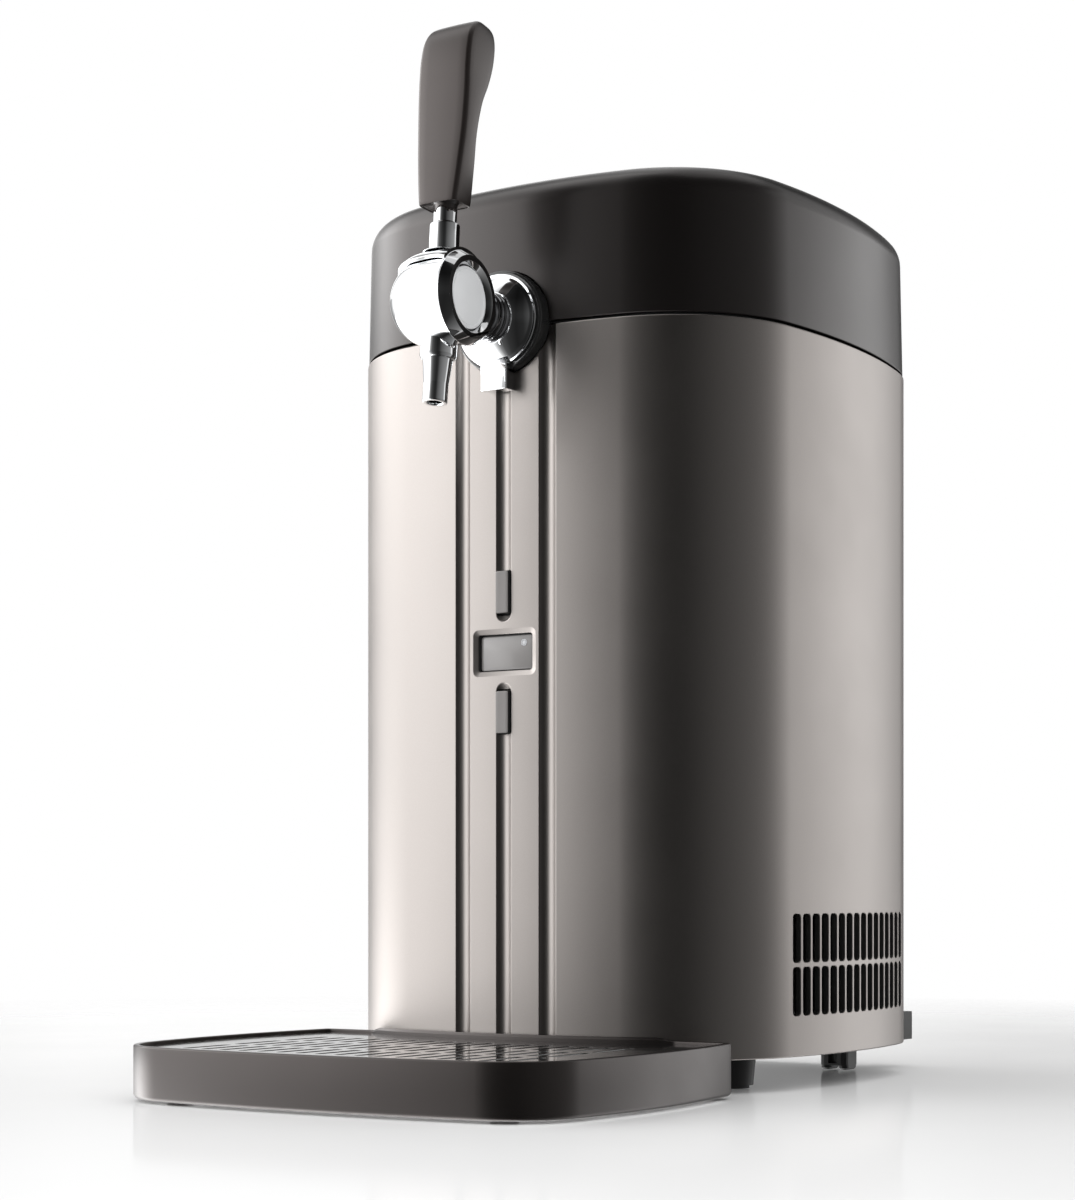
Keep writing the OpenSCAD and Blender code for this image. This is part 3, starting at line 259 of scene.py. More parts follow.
class Socket:
    """A node's output that can be used in sums; each sum adds a Math node."""

    def __init__(self, finish, output):
        self.finish = finish
        self.output = output

    def _maths(self, operation, first, second):
        return self.finish.node("ShaderNodeMath", {"operation": operation}, {0: first, 1: second})

    def __add__(self, other):
        return self._maths("ADD", self, other)

    def __radd__(self, other):
        return self._maths("ADD", other, self)

    def __sub__(self, other):
        return self._maths("SUBTRACT", self, other)

    def __rsub__(self, other):
        return self._maths("SUBTRACT", other, self)

    def __mul__(self, other):
        return self._maths("MULTIPLY", self, other)

    def __rmul__(self, other):
        return self._maths("MULTIPLY", other, self)

    def __truediv__(self, other):
        return self._maths("DIVIDE", self, other)

    def __lt__(self, other):
        return self._maths("LESS_THAN", self, other)


class Graph:
    """A node tree to which sums and textures are added."""

    def __init__(self, tree):
        self.tree = tree

    def node(self, kind, settings, sockets, output=0):
        """Adds a node: its settings first, then the values or links of its sockets."""
        made = self.tree.nodes.new(kind)
        for key, value in settings.items():
            if key == "stops":
                ramp = made.color_ramp
                while len(ramp.elements) < len(value):
                    ramp.elements.new(0.5)
                for element, (position, tone) in zip(ramp.elements, value):
                    element.position = position
                    element.color = (tone, tone, tone, 1) if len_of(tone) == 1 else (*tone, 1)
            else:
                setattr(made, key, value)
        for key, value in sockets.items():
            if isinstance(value, Socket):
                self.tree.links.new(value.output, made.inputs[key])
            else:
                target = made.inputs[key]
                wide = len_of(value) == 3 and len_of(target.default_value) == 4
                target.default_value = (*value, 1) if wide else value
        return Socket(self, made.outputs[output]) if made.outputs else None

    def between(self, value, low, high, start=0.0, stop=1.0):
        """value taken from low..high to start..stop."""
        return self.node("ShaderNodeMapRange", {"clamp": True}, {
            "Value": value, "From Min": low, "From Max": high, "To Min": start, "To Max": stop})


class Finish(Graph):
    """A material under construction, with its shader and the places it is worked out from."""

    def __init__(self, name, **constants):
        self.material = bpy.data.materials.new(name)
        self.material.use_nodes = True
        super().__init__(self.material.node_tree)
        self.shader = next(n for n in self.tree.nodes if n.type == "BSDF_PRINCIPLED")
        for socket, value in constants.items():
            target = self.shader.inputs[socket.replace("_", " ").title().replace("Ior", "IOR")]
            target.default_value = (*value, 1) if len_of(value) == 3 else value
        self.place = self.node("ShaderNodeTexCoord", {}, {}, "Object")

    def stretched(self, scale):
        """The object's places, scaled per axis, so that a texture is drawn out."""
        return self.node("ShaderNodeMapping", {}, {"Vector": self.place, "Scale": scale})

    def cloud(self, size, detail=3.0, place=None):
        """Soft noise from 0 to 1 whose lumps are about as large as size, in metres."""
        return self.node("ShaderNodeTexNoise", {}, {
            "Vector": place or self.place, "Scale": 1 / size, "Detail": detail}, "Fac")

    def cells(self, size, feature="F1", output="Distance"):
        """Distance to the middle or the edge of cells about as large as size, in metres."""
        return self.node("ShaderNodeTexVoronoi", {"feature": feature}, {
            "Vector": self.place, "Scale": 1 / size}, output)

    def blend(self, amount, first, second):
        """A colour between two colours."""
        return self.node("ShaderNodeMix", {"data_type": "RGBA"}, {0: amount, 6: first, 7: second}, 2)

    def drive(self, socket, value):
        self.tree.links.new(value.output, self.shader.inputs[socket])

    def tones(self, amount, colour, low, high):
        """The base colour: between a darker and a lighter tone of one colour."""
        self.drive("Base Color", self.blend(amount, shade(colour, low), shade(colour, high)))

    def rough(self, value):
        self.drive("Roughness", value)

    def relief(self, height, depth, strength=1.0):
        """Bumps of that depth, in metres, where height runs from 0 to 1."""
        bump = self.node("ShaderNodeBump", {}, {"Height": height, "Distance": depth,
                                                "Strength": strength}, "Normal")
        self.drive("Normal", bump)


def len_of(value):
    """1 for a number, and the count of a colour or vector."""
    try:
        return len(value)
    except TypeError:
        return 1


def shade(colour, factor):
    """A colour made darker or lighter."""
    return tuple(min(1.0, part * factor) for part in colour)


# The warm sheen of the dark paint and plastics
WARM = (1.0, 0.9, 0.87)

FINISHES = {}


def finish(name):
    """The named material, made the first time it is asked for."""
    if name not in FINISHES:
        FINISHES[name] = FINISH_MAKERS[name](bpy.context.scene.keg_colours).material
    return FINISHES[name]


def satin_body(colours):
    """Satin metallic paint: fine flake, a slight orange peel and soft mottling."""
    f = Finish("satin_body_paint", metallic=1.0)
    flake = f.cells(0.00035, output="Color")
    tone = f.node("ShaderNodeSeparateColor", {}, {"Color": flake}, 0)
    mottle = f.cloud(0.05, 4)
    f.tones(f.between(tone, 0, 1, 0.35, 0.65) + (mottle - 0.5) * 0.25, colours.body, 0.93, 1.07)
    f.rough(f.between(mottle, 0.3, 0.7, 0.37, 0.41) + (tone - 0.5) * 0.03)
    f.relief(f.cloud(0.0009, 2), 0.000012, 0.5)
    return f


def satin_lid(colours):
    """The lid's dark satin paint, with a fine grain."""
    f = Finish("satin_lid_paint", specular_ior_level=0.45, specular_tint=WARM, coat_weight=0.3,
               coat_roughness=0.22)
    mottle = f.cloud(0.06, 4)
    grain = f.cloud(0.0004, 2)
    f.tones(f.between(grain, 0.3, 0.7) * 0.6 + mottle * 0.4, colours.lid, 0.9, 1.1)
    f.rough(f.between(mottle, 0.3, 0.7, 0.33, 0.38))
    f.relief(grain, 0.00001, 0.5)
    return f


def moulded(name, colour_name, rough_low, rough_high, grain=0.00035, depth=0.00002, **constants):
    """A maker of moulded plastic with an even eroded grain."""
    def make(colours):
        f = Finish(name, **constants)
        lumps = f.cloud(grain, 3)
        wear = f.cloud(0.03, 5)
        f.tones(wear, getattr(colours, colour_name), 0.88, 1.12)
        f.rough(f.between(wear, 0.3, 0.7, rough_low, rough_high) + (lumps - 0.5) * 0.05)
        f.relief(lumps, depth, 0.6)
        return f
    return make


def polished(name, colour_name, rough_low, rough_high, **constants):
    """A maker of a polished hard surface with faint wipe marks and a slight waviness."""
    def make(colours):
        f = Finish(name, **constants)
        wipe = f.cloud(0.012, 4, f.stretched((1, 1, 0.35)))
        specks = f.between(f.cloud(0.0012, 2), 0.62, 0.75)
        f.tones(wipe, getattr(colours, colour_name), 0.97, 1.02)
        f.rough(f.between(wipe, 0.35, 0.75, rough_low, rough_high) + specks * 0.03)
        f.relief(f.cloud(0.009, 2), 0.00003, 0.35)
        return f
    return make


def streaked(name, colour_name, stretch, rough_low, rough_high):
    """A maker of drawn, extruded or brushed metal, with streaks along its long axis."""
    def make(colours):
        f = Finish(name, metallic=1.0)
        streaks = f.cloud(0.0012, 4, f.stretched(stretch))
        stain = f.cloud(0.04, 4)
        f.tones(streaks * 0.7 + stain * 0.3, getattr(colours, colour_name), 0.85, 1.1)
        f.rough(f.between(streaks, 0.3, 0.7, rough_low, rough_high))
        f.relief(streaks, 0.00002, 0.5)
        return f
    return make


def bead_foam(colours):
    """Expanded foam of pressed beads."""
    f = Finish("bead_foam", roughness=0.9)
    beads = f.cells(0.0035)
    edges = f.cells(0.0035, "DISTANCE_TO_EDGE")
    f.tones(f.between(edges, 0, 0.12), colours.foam, 0.82, 1.0)
    f.relief(1 - beads, 0.0006, 0.7)
    return f


def circuit_board(colours):
    """Green solder mask over copper runs, with bright pads."""
    f = Finish("circuit_board", roughness=0.4, coat_weight=0.4)
    runs = f.node("ShaderNodeTexBrick", {"offset": 0.5}, {
        "Vector": f.place, "Scale": 260.0, "Mortar Size": 0.03, "Color1": (0, 0, 0),
        "Color2": (0.35, 0.35, 0.35), "Mortar": (1, 1, 1)}, "Fac")
    pads = f.cells(0.006) < 0.16
    board = f.blend(runs, colours.board[:], shade(colours.board, 1.8))
    f.drive("Base Color", f.blend(pads, board, (0.6, 0.58, 0.5)))
    f.relief(runs, 0.00005, 0.6)
    return f


def hose_wall(colours):
    """Milky hose with a faint bloom."""
    f = Finish("hose_wall", roughness=0.3, coat_weight=0.3, subsurface_weight=0.15)
    bloom = f.cloud(0.01, 4)
    f.tones(bloom, colours.hose, 0.9, 1.05)
    f.rough(f.between(bloom, 0.3, 0.7, 0.25, 0.4))
    f.relief(f.cloud(0.002, 2), 0.00003, 0.4)
    return f


def stage_floor(colours):
    """Pale, slightly glossy table top that fades out round the object."""
    f = Finish("stage_floor", roughness=0.1, ior=1.03)
    f.tones(f.cloud(0.4, 2), colours.floor, 0.99, 1.0)
    f.rough(f.between(f.cloud(0.15, 3), 0.3, 0.7, 0.08, 0.12))
    away = f.node("ShaderNodeVectorMath", {"operation": "LENGTH"}, {0: f.place}, "Value")
    f.drive("Alpha", f.between(away, 0.5, 1.1, 1.0, 0.0))
    return f


FINISH_MAKERS = {
    "body": satin_body,
    "lid": satin_lid,
    "handle": moulded("handle_plastic", "handle", 0.34, 0.4, 0.0005, 0.000012,
                      specular_ior_level=0.75, specular_tint=WARM),
    "tray": moulded("tray_plastic", "tray", 0.33, 0.39, 0.0005, 0.000012,
                    specular_ior_level=0.8, specular_tint=WARM),
    "black": moulded("black_plastic", "black", 0.5, 0.6),
    "lamp": moulded("lamp_plastic", "steel", 0.3, 0.36, 0.0004, 0.000006, coat_weight=0.4),
    "button": moulded("button_plastic", "button", 0.4, 0.46, 0.0004, 0.00001),
    "rubber": moulded("black_rubber", "rubber", 0.7, 0.8, 0.0006, 0.00004),
    "gloss_black": polished("gloss_black", "black", 0.08, 0.16, coat_weight=0.5),
    "window": polished("window_plastic", "window", 0.14, 0.2, coat_weight=0.8,
                       coat_roughness=0.04),
    "chrome": polished("chrome_plate", "chrome", 0.03, 0.07, metallic=1.0),
    "pearl": moulded("pearl_chrome", "chrome", 0.3, 0.36, 0.0003, 0.000004, metallic=0.35),
    "dark_chrome": polished("dark_chrome", "dark_chrome", 0.05, 0.1, metallic=1.0),
    "steel": streaked("zinc_steel", "steel", (1, 1, 1), 0.25, 0.4),
    "aluminium": streaked("drawn_aluminium", "aluminium", (1, 1, 0.03), 0.25, 0.38),
    "sink": streaked("extruded_aluminium", "aluminium", (1, 0.03, 1), 0.3, 0.45),
    "foam": bead_foam,
    "board": circuit_board,
    "hose": hose_wall,
    "floor": stage_floor,
}


# ---- Outlines ----

def arc(centre, radius, start, stop, steps):
    """Points on an arc in a plane, with the angles in radians."""
    turns = (start + (stop - start) * i / steps for i in range(steps + 1))
    return [Vector((centre[0] + radius * math.cos(t), centre[1] + radius * math.sin(t)))
            for t in turns]


def rounded(width, height, radius, place=(0, 0), steps=4):
    """A rectangle with round corners, anticlockwise."""
    x, y = width / 2 - radius, height / 2 - radius
    corners = ((x, y), (-x, y), (-x, -y), (x, -y))
    return [p + Vector(place) for i, corner in enumerate(corners)
            for p in arc(corner, radius, math.pi / 2 * i, math.pi / 2 * (i + 1), steps)]


def circles_meet(first, r1, second, r2):
    """The point where two circles meet, left of the way from the first middle to the second."""
    way = second - first
    along = (r1 * r1 - r2 * r2 + way.length_squared) / (2 * way.length)
    unit = way.normalized()
    return first + unit * along + Vector((-unit.y, unit.x)) * math.sqrt(r1 * r1 - along * along)


def turn_of(way):
    return math.atan2(way.y, way.x)


def between(a, b, t):
    return a + (b - a) * t


def smooth(t):
    t = min(max(t, 0.0), 1.0)
    return t * t * (3 - 2 * t)


def quarter(steps):
    """Angles from 0 to 90 degrees, in radians."""
    return [math.pi / 2 * i / steps for i in range(steps + 1)]


def eased(before, corner, after, reach, steps):
    """Points on the curve that rounds a corner, from reach before it to reach after it."""
    start = corner + (before - corner).normalized() * reach
    end = corner + (after - corner).normalized() * reach
    return [start * (1 - t) ** 2 + corner * 2 * t * (1 - t) + end * t * t
            for t in (i / steps for i in range(steps + 1))]


def last_before(low, high, before):
    """The last place between low and high for which before(place) holds."""
    for _ in range(40):
        middle = (low + high) / 2
        low, high = (middle, high) if before(middle) else (low, middle)
    return low


def collar_notch(level, radius, stop, steps):
    """The arc round the tap's collar, from a level at its left to the angle stop at its right."""
    lift = math.asin((LEVER_PIVOT.z - level) / radius)
    return arc((0, LEVER_PIVOT.z), radius, math.pi + lift, stop - lift, steps)


class Oval:
    """The housing's plan: front, side and corner arcs, walked from the front's middle to the right."""

    def __init__(self, sizes):
        half_w = (HOUSE_HIGH.x - HOUSE_LOW.x) / 2
        half_d = (HOUSE_HIGH.y - HOUSE_LOW.y) / 2
        front = Vector((0, sizes.front_r - half_d))
        side = Vector((half_w - sizes.side_r, 0))
        corner = circles_meet(front, sizes.front_r - sizes.corner_r,
                              side, sizes.side_r - sizes.corner_r)
        front_end, side_end = turn_of(corner - front), turn_of(corner - side)
        ahead = [(front, sizes.front_r, -math.pi / 2, front_end),
                 (corner, sizes.corner_r, front_end, side_end), (side, sizes.side_r, side_end, 0)]
        right = ahead + [(Vector((c.x, -c.y)), r, -stop, -start)
                         for c, r, start, stop in reversed(ahead)]
        left = [(-c, r, start + math.pi, stop + math.pi) for c, r, start, stop in right]
        self.arcs = right + left
        self.side_r = sizes.side_r
        self.starts = [0.0]
        for _, r, start, stop in self.arcs:
            self.starts.append(self.starts[-1] + r * (stop - start))
        self.length = self.starts[-1]
        self.seam = self.length / 2 - SEAM_SHIFT
        self.ends = self.seam - self.length, self.seam

    def at(self, s, depth=0.0):
        """The point at a way s round the outline, moved in by depth, and the normal there."""
        s %= self.length
        i = next((k for k in range(len(self.arcs)) if s <= self.starts[k + 1]), len(self.arcs) - 1)
        centre, r, start, _ = self.arcs[i]
        turn = start + (s - self.starts[i]) / r
        normal = Vector((math.cos(turn), math.sin(turn), 0))
        point = Vector((centre.x, centre.y + HOUSE_MIDDLE_Y, 0)) + normal * (r - depth)
        return point, normal

    def stations(self):
        """Ways round the outline, close together at its corners, from the seam round to the seam."""
        found = []
        for (_, r, _, _), a, b in zip(self.arcs, self.starts, self.starts[1:]):
            count = max(1, round((b - a) / (3 * MM if r < self.side_r / 2 else 8 * MM)))
            found += [a + (b - a) * i / count for i in range(count)]
        return sorted(s - self.length if s > self.seam + 1e-9 else s for s in found)

    def across_back(self, x):
        """The way round to the point at x on the back half."""
        return last_before(self.length / 4, self.length * 3 / 4, lambda s: self.at(s)[0].x > x)

    def side(self, y, right=True):
        """The way round to a side face's point at y from the housing's middle."""
        way = self.side_r * math.asin(y / self.side_r)
        return self.length / 4 + way if right else -self.length / 4 - way


# ---- Meshes ----

class Slab:
    """A shell's wall as a flat pattern: x runs round it, y up it and z into it. It is made flat,
    with rounded edges at its openings, cut along its stations and then bent onto its form."""

    def __init__(self):
        self.mesh = bmesh.new()
        self.normal = self.mesh.verts.layers.float_vector.new("flat_normal")
        self.outer, self.inner = [], []

    def ring(self, points, depth, ways, turn):
        """Points at a depth, their normals turned from outward towards their opening."""
        made = []
        for p, way in zip(points, ways):
            v = self.mesh.verts.new((p.x, p.y, depth))
            v[self.normal] = (way.x * math.sin(turn), way.y * math.sin(turn), -math.cos(turn))
            made.append(v)
        return made

    def strips(self, rings, closed):
        for a, b in zip(rings, rings[1:]):
            count = len(a) if closed else len(a) - 1
            for i in range(count):
                j = (i + 1) % len(a)
                self.mesh.faces.new((a[i], a[j], b[j], b[i]))

    def rim(self, loop, profile, closed=True):
        """The edge of the wall at an opening. loop(d) is its outline moved into the wall by d, and
        profile lists each ring's d, depth and normal's turn."""
        widest = max(d for d, _, _ in profile)
        narrowest = min(d for d, _, _ in profile)
        ways = [(b - a).normalized() for a, b in zip(loop(widest), loop(narrowest))]
        rings = [self.ring(loop(d), depth, ways, turn) for d, depth, turn in profile]
        self.strips(rings, closed)
        return rings[0], rings[-1]

    def opening(self, loop, profile):
        first, last = self.rim(loop, profile)
        self.outer.append(first)
        self.inner.append(last)

    def border(self, low_loop, low_profile, high_loop, high_profile):
        """The pattern's lower and upper edges, which both run from left to right."""
        low = self.rim(low_loop, low_profile, closed=False)
        high = self.rim(high_loop, high_profile, closed=False)
        self.outer.append(low[0] + high[0][::-1])
        self.inner.append(low[1] + high[1][::-1])

    def fill(self, loops):
        edges = []
        for loop in loops:
            for a, b in zip(loop, loop[1:] + loop[:1]):
                edges.append(self.mesh.edges.get((a, b)) or self.mesh.edges.new((a, b)))
        bmesh.ops.triangle_fill(self.mesh, use_beauty=True, use_dissolve=False, edges=edges)

    def skins(self):
        """Closes the wall with its outer and inner skins."""
        self.fill(self.outer)
        self.fill(self.inner)

    def cut(self, places, axis=0, keep=None):
        """Cuts the pattern at places along x or y, for faces that keep allows."""
        faces = [f for f in self.mesh.faces if keep is None or keep(f.calc_center_median())]
        self.split(faces, sorted(places), axis)

    def split(self, faces, places, axis):
        """Cuts faces at the middle one of the places, then each side of it at the others."""
        if not places or not faces:
            return
        middle = len(places) // 2
        place = places[middle]
        sides, crossing = ([], []), []
        for f in faces:
            ends = [v.co[axis] for v in f.verts]
            if min(ends) < place - 1e-7 and max(ends) > place + 1e-7:
                crossing.append(f)
            else:
                sides[sum(ends) / len(ends) > place].append(f)
        if crossing:
            way = Vector((1 - axis, axis, 0))
            parts = {*crossing, *(e for f in crossing for e in f.edges),
                     *(v for f in crossing for v in f.verts)}
            made = bmesh.ops.bisect_plane(self.mesh, geom=list(parts), dist=1e-7,
                                          plane_co=way * place, plane_no=way)["geom"]
            for f in {g for g in made if isinstance(g, bmesh.types.BMFace)} | {
                    f for f in crossing if f.is_valid}:
                sides[f.calc_center_median()[axis] > place].append(f)
        self.split(sides[0], places[:middle], axis)
        self.split(sides[1], places[middle + 1:], axis)

    def bend(self, form):
        """Moves every point of the pattern onto its form, and its normal with it."""
        for v in self.mesh.verts:
            v.co, v[self.normal] = form(v.co.copy(), Vector(v[self.normal]))
        return tidied(self.mesh)


def edge_profile(edge_r, wall, steps=4, inner_r=None):
    """A wall's free edge: a rounding, the wall's thickness, and a rounding inside."""
    inner_r = edge_r if inner_r is None else inner_r
    outside = [(edge_r * (1 - math.sin(a)), edge_r * (1 - math.cos(a)), a) for a in quarter(steps)]
    inside = [(inner_r * (1 - math.sin(a)), wall - inner_r * (1 - math.cos(a)), math.pi - a)
              for a in reversed(quarter(steps))]
    return outside + inside


def tidied(made):
    """A mesh whose doubled points are joined and whose faces look outward."""
    bmesh.ops.remove_doubles(made, verts=made.verts, dist=WELD)
    bmesh.ops.recalc_face_normals(made, faces=made.faces)
    return made


def soften(profile, radius, steps=3):
    """A profile whose corners are rounded, each by as much as its neighbours allow."""
    points = [Vector(p) for p in profile]
    made = [points[0]]
    for before, corner, after in zip(points, points[1:], points[2:]):
        spare = 0.45 * min((before - corner).length, (after - corner).length)
        if spare > 1e-9:
            made += eased(before, corner, after, min(radius, spare), steps)
    return made + [points[-1]]


def lathe(profile, steps=96, radius=0.0, place=None):
    """A turned mesh about Z from a profile of (radius, height) in millimetres, whose corners may be
    rounded by a radius in millimetres, moved to its place."""
    made = bmesh.new()
    rings = []
    points = [Vector(p) * MM for p in profile]
    for r, z in soften(points, radius * MM) if radius else points:
        turns = (2 * math.pi * i / steps for i in range(1 if r < 1e-9 else steps))
        rings.append([made.verts.new((r * math.cos(t), r * math.sin(t), z)) for t in turns])
    for a, b in zip(rings, rings[1:]):
        for i in range(steps):
            j = (i + 1) % steps
            face = [a[i % len(a)], a[j % len(a)], b[j % len(b)], b[i % len(b)]]
            face = list(dict.fromkeys(face))
            if len(face) > 2:
                made.faces.new(face)
    bmesh.ops.recalc_face_normals(made, faces=made.faces)
    if place is not None:
        made.transform(place)
    return made


def loft(made, rings):
    """Joins closed rings of points into a skin in a mesh."""
    rows = [[made.verts.new(p) for p in ring] for ring in rings]
    for a, b in zip(rows, rows[1:]):
        for i in range(len(a)):
            j = (i + 1) % len(a)
            made.faces.new((a[i], a[j], b[j], b[i]))
    return rows


def solid(rings):
    """A closed mesh lofted through rings of points."""
    made = bmesh.new()
    rows = loft(made, rings)
    made.faces.new(rows[0][::-1])
    made.faces.new(rows[-1])
    return tidied(made)


def along(axis, lean=0.0):
    """The matrix that takes Z to an axis of the frame, leaned about X, at the lever's pivot."""
    turns = {"X": Matrix.Rotation(math.pi / 2, 4, "Y"), "Y": Matrix.Rotation(-math.pi / 2, 4, "X"),
             "Z": Matrix.Identity(4), "-Z": Matrix.Rotation(math.pi, 4, "X")}
    return Matrix.Translation(LEVER_PIVOT) @ Matrix.Rotation(lean, 4, "X") @ turns[axis]


def merged(*meshes):
    """One mesh out of several."""
    whole = bmesh.new()
    for part in meshes:
        held = bpy.data.meshes.new("part")
        part.to_mesh(held)
        part.free()
        whole.from_mesh(held)
        bpy.data.meshes.remove(held)
    return whole


def piece(name, made, look, body, stands_for=(), place=None, sharp=35.0, normals=None):
    """An object out of a mesh: smooth but for its sharp edges, with its finish, riding on a body."""
    if place is not None:
        made.transform(place)
    made.normal_update()
    for e in made.edges:
        e.smooth = bool(normals) or (
            len(e.link_faces) == 2 and e.calc_face_angle(0) < math.radians(sharp))
    for f in made.faces:
        f.smooth = True
    given = [Vector(v[normals]).normalized() for v in made.verts] if normals else None
    held = bpy.data.meshes.new(name)
    made.to_mesh(held)
    made.free()
    if given:
        held.normals_split_custom_set_from_vertices(given)
    made_object = bpy.data.objects.new(name, held)
    bpy.context.scene.collection.objects.link(made_object)
    for one in ([look] if isinstance(look, str) else look):
        held.materials.append(finish(one))
    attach(made_object, body)
    if stands_for:
        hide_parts(*stands_for)
    return made_object


def block(low, high, edge_r):
    """A box with rounded edges, as a mesh."""
    made = bmesh.new()
    bmesh.ops.create_cube(made, size=1)
    low, high = Vector(low), Vector(high)
    size = high - low
    for v in made.verts:
        v.co = Vector((v.co.x * size.x, v.co.y * size.y, v.co.z * size.z)) + (low + high) / 2
    bmesh.ops.bevel(made, geom=made.edges[:], offset=edge_r, segments=3, profile=0.5,
                    affect="EDGES")
    return made


def dress(names, look, edge=0.0):
    """Gives the frame's own nodes their finish, and rounds their edges."""
    for name in names:
        node = frame["nodes"][name]
        node.data.materials.clear()
        node.data.materials.append(finish(look))
        if edge:
            bevel = node.modifiers.new("edges", "BEVEL")
            bevel.width = edge
            bevel.segments = 2
            bevel.limit_method = "ANGLE"
            bevel.angle_limit = math.radians(40)
            bevel.harden_normals = True


# ---- Stage ----

class KEG_OT_stage(bpy.types.Operator):
    """Sets up the floor, the soft lights, the backdrop and the camera"""

    bl_idname = "keg.stage"
    bl_label = "Stage"

    def execute(self, context):
        scene = context.scene
        studio = scene.keg_studio
        scene.view_settings.view_transform = "Standard"
        self.floor(scene)
        self.backdrop(scene, studio)
        self.softbox("key_light", (-1.5, -1.75, 0.75), (-0.05, 0.0, 0.3), (1.7, 2.4),
                     studio.key_power)
        self.softbox("side_light", (1.75, 1.45, 0.8), (0.1, 0.1, 0.3), (1.0, 2.2),
                     studio.side_power)
        self.softbox("top_light", (0.1, 0.5, 2.2), (0.0, 0.05, 0.3), (2.0, 1.6), studio.top_power)
        self.camera(scene, studio)
        return {"FINISHED"}

    def floor(self, scene):
        """A round table top that fades out into the backdrop and isn't seen in the gloss."""
        made = bmesh.new()
        rings = [[Vector((r * math.cos(a), r * math.sin(a), -0.5 * MM)) for a in
                  (math.radians(t * 7.5) for t in range(48))] for r in (0.4, 1.0, 2.2)]
        made.faces.new(loft(made, rings)[0])
        held = bpy.data.meshes.new("floor")
        bmesh.ops.recalc_face_normals(made, faces=made.faces)
        made.to_mesh(held)
        made.free()
        held.materials.append(finish("floor"))
        floor = bpy.data.objects.new("floor", held)
        scene.collection.objects.link(floor)
        floor.visible_glossy = False

    def backdrop(self, scene, studio):
        """Plain white for the camera, an even fill for matt surfaces, and screens for gloss."""
        world = bpy.data.worlds.new("studio")
        scene.world = world
        world.use_nodes = True
        graph = Graph(world.node_tree)
        world.node_tree.nodes.clear()
        way = graph.node("ShaderNodeTexCoord", {}, {}, "Generated")
        across, deep, height = (graph.node("ShaderNodeSeparateXYZ", {}, {0: way}, axis)
                                for axis in "XYZ")
        turn = graph.node("ShaderNodeMath", {"operation": "ARCTAN2"}, {0: across, 1: 0 - deep})
        start = math.radians(ROOM[0][0])
        place = graph.node("ShaderNodeMath", {"operation": "FRACT"},
                           {0: (turn - start) / (2 * math.pi)})
        screens = graph.node("ShaderNodeValToRGB", {
            "stops": [((a - ROOM[0][0]) / 360, tone) for a, tone in ROOM]}, {"Fac": place})
        # The screens dim towards the ceiling, and a little towards the floor
        room = screens * graph.between(height, 0.27, 0.75, studio.room_light,
                                       studio.room_light * studio.ceiling)
        room = room * graph.between(height, -0.05, 0.16, 0.78, 1.0)
        for (out, full), (start, stop), gain in PATCHES:
            patch = graph.between(turn, math.radians(out), math.radians(full), 0.0, gain)
            room = room * (1 + patch * graph.between(height, start, stop))
        seen, matt = (graph.node("ShaderNodeLightPath", {}, {}, kind)
                      for kind in ("Is Camera Ray", "Is Diffuse Ray"))
        room = room * (1 - matt) + matt * studio.fill_light
        light = graph.node("ShaderNodeBackground", {}, {
            "Color": (1, 1, 1), "Strength": room * (1 - seen) + seen * studio.backdrop_light})
        graph.node("ShaderNodeOutputWorld", {}, {"Surface": light})

    def softbox(self, name, place, target, size, power):
        """A large soft light, out of the camera's sight."""
        light = bpy.data.lights.new(name, "AREA")
        light.shape = "RECTANGLE"
        light.size, light.size_y = size
        light.energy = power
        lamp = bpy.data.objects.new(name, light)
        lamp.location = place
        lamp.rotation_euler = (Vector(target) - Vector(place)).to_track_quat("-Z", "Y").to_euler()
        lamp.visible_camera = False
        bpy.context.scene.collection.objects.link(lamp)

    def camera(self, scene, studio):
        lens = bpy.data.cameras.new("camera")
        lens.sensor_fit = "HORIZONTAL"
        lens.sensor_width = 36
        lens.lens = studio.lens
        lens.shift_y = studio.rise
        camera = bpy.data.objects.new("camera", lens)
        camera.location = studio.camera_place
        camera.rotation_euler = (math.pi / 2, 0, studio.camera_turn)
        scene.collection.objects.link(camera)
        scene.camera = camera


# ---- Housing and panel ----

def trough(x, half, depth):
    """How deep a groove's round trough is at x from its middle, and its slope there. Its edges
    are softened over a short way."""
    soft = 0.3 * MM
    inside = half - abs(x)
    if inside <= -soft:
        return 0.0, 0.0
    if inside < soft:
        way, rate = (inside + soft) ** 2 / (4 * soft), (inside + soft) / (2 * soft)
    else:
        way, rate = inside, 1.0
    across = (half - way) / half
    slope = -2 * depth * across / half * rate
    return depth * (1 - across * across), slope if x > 0 else -slope


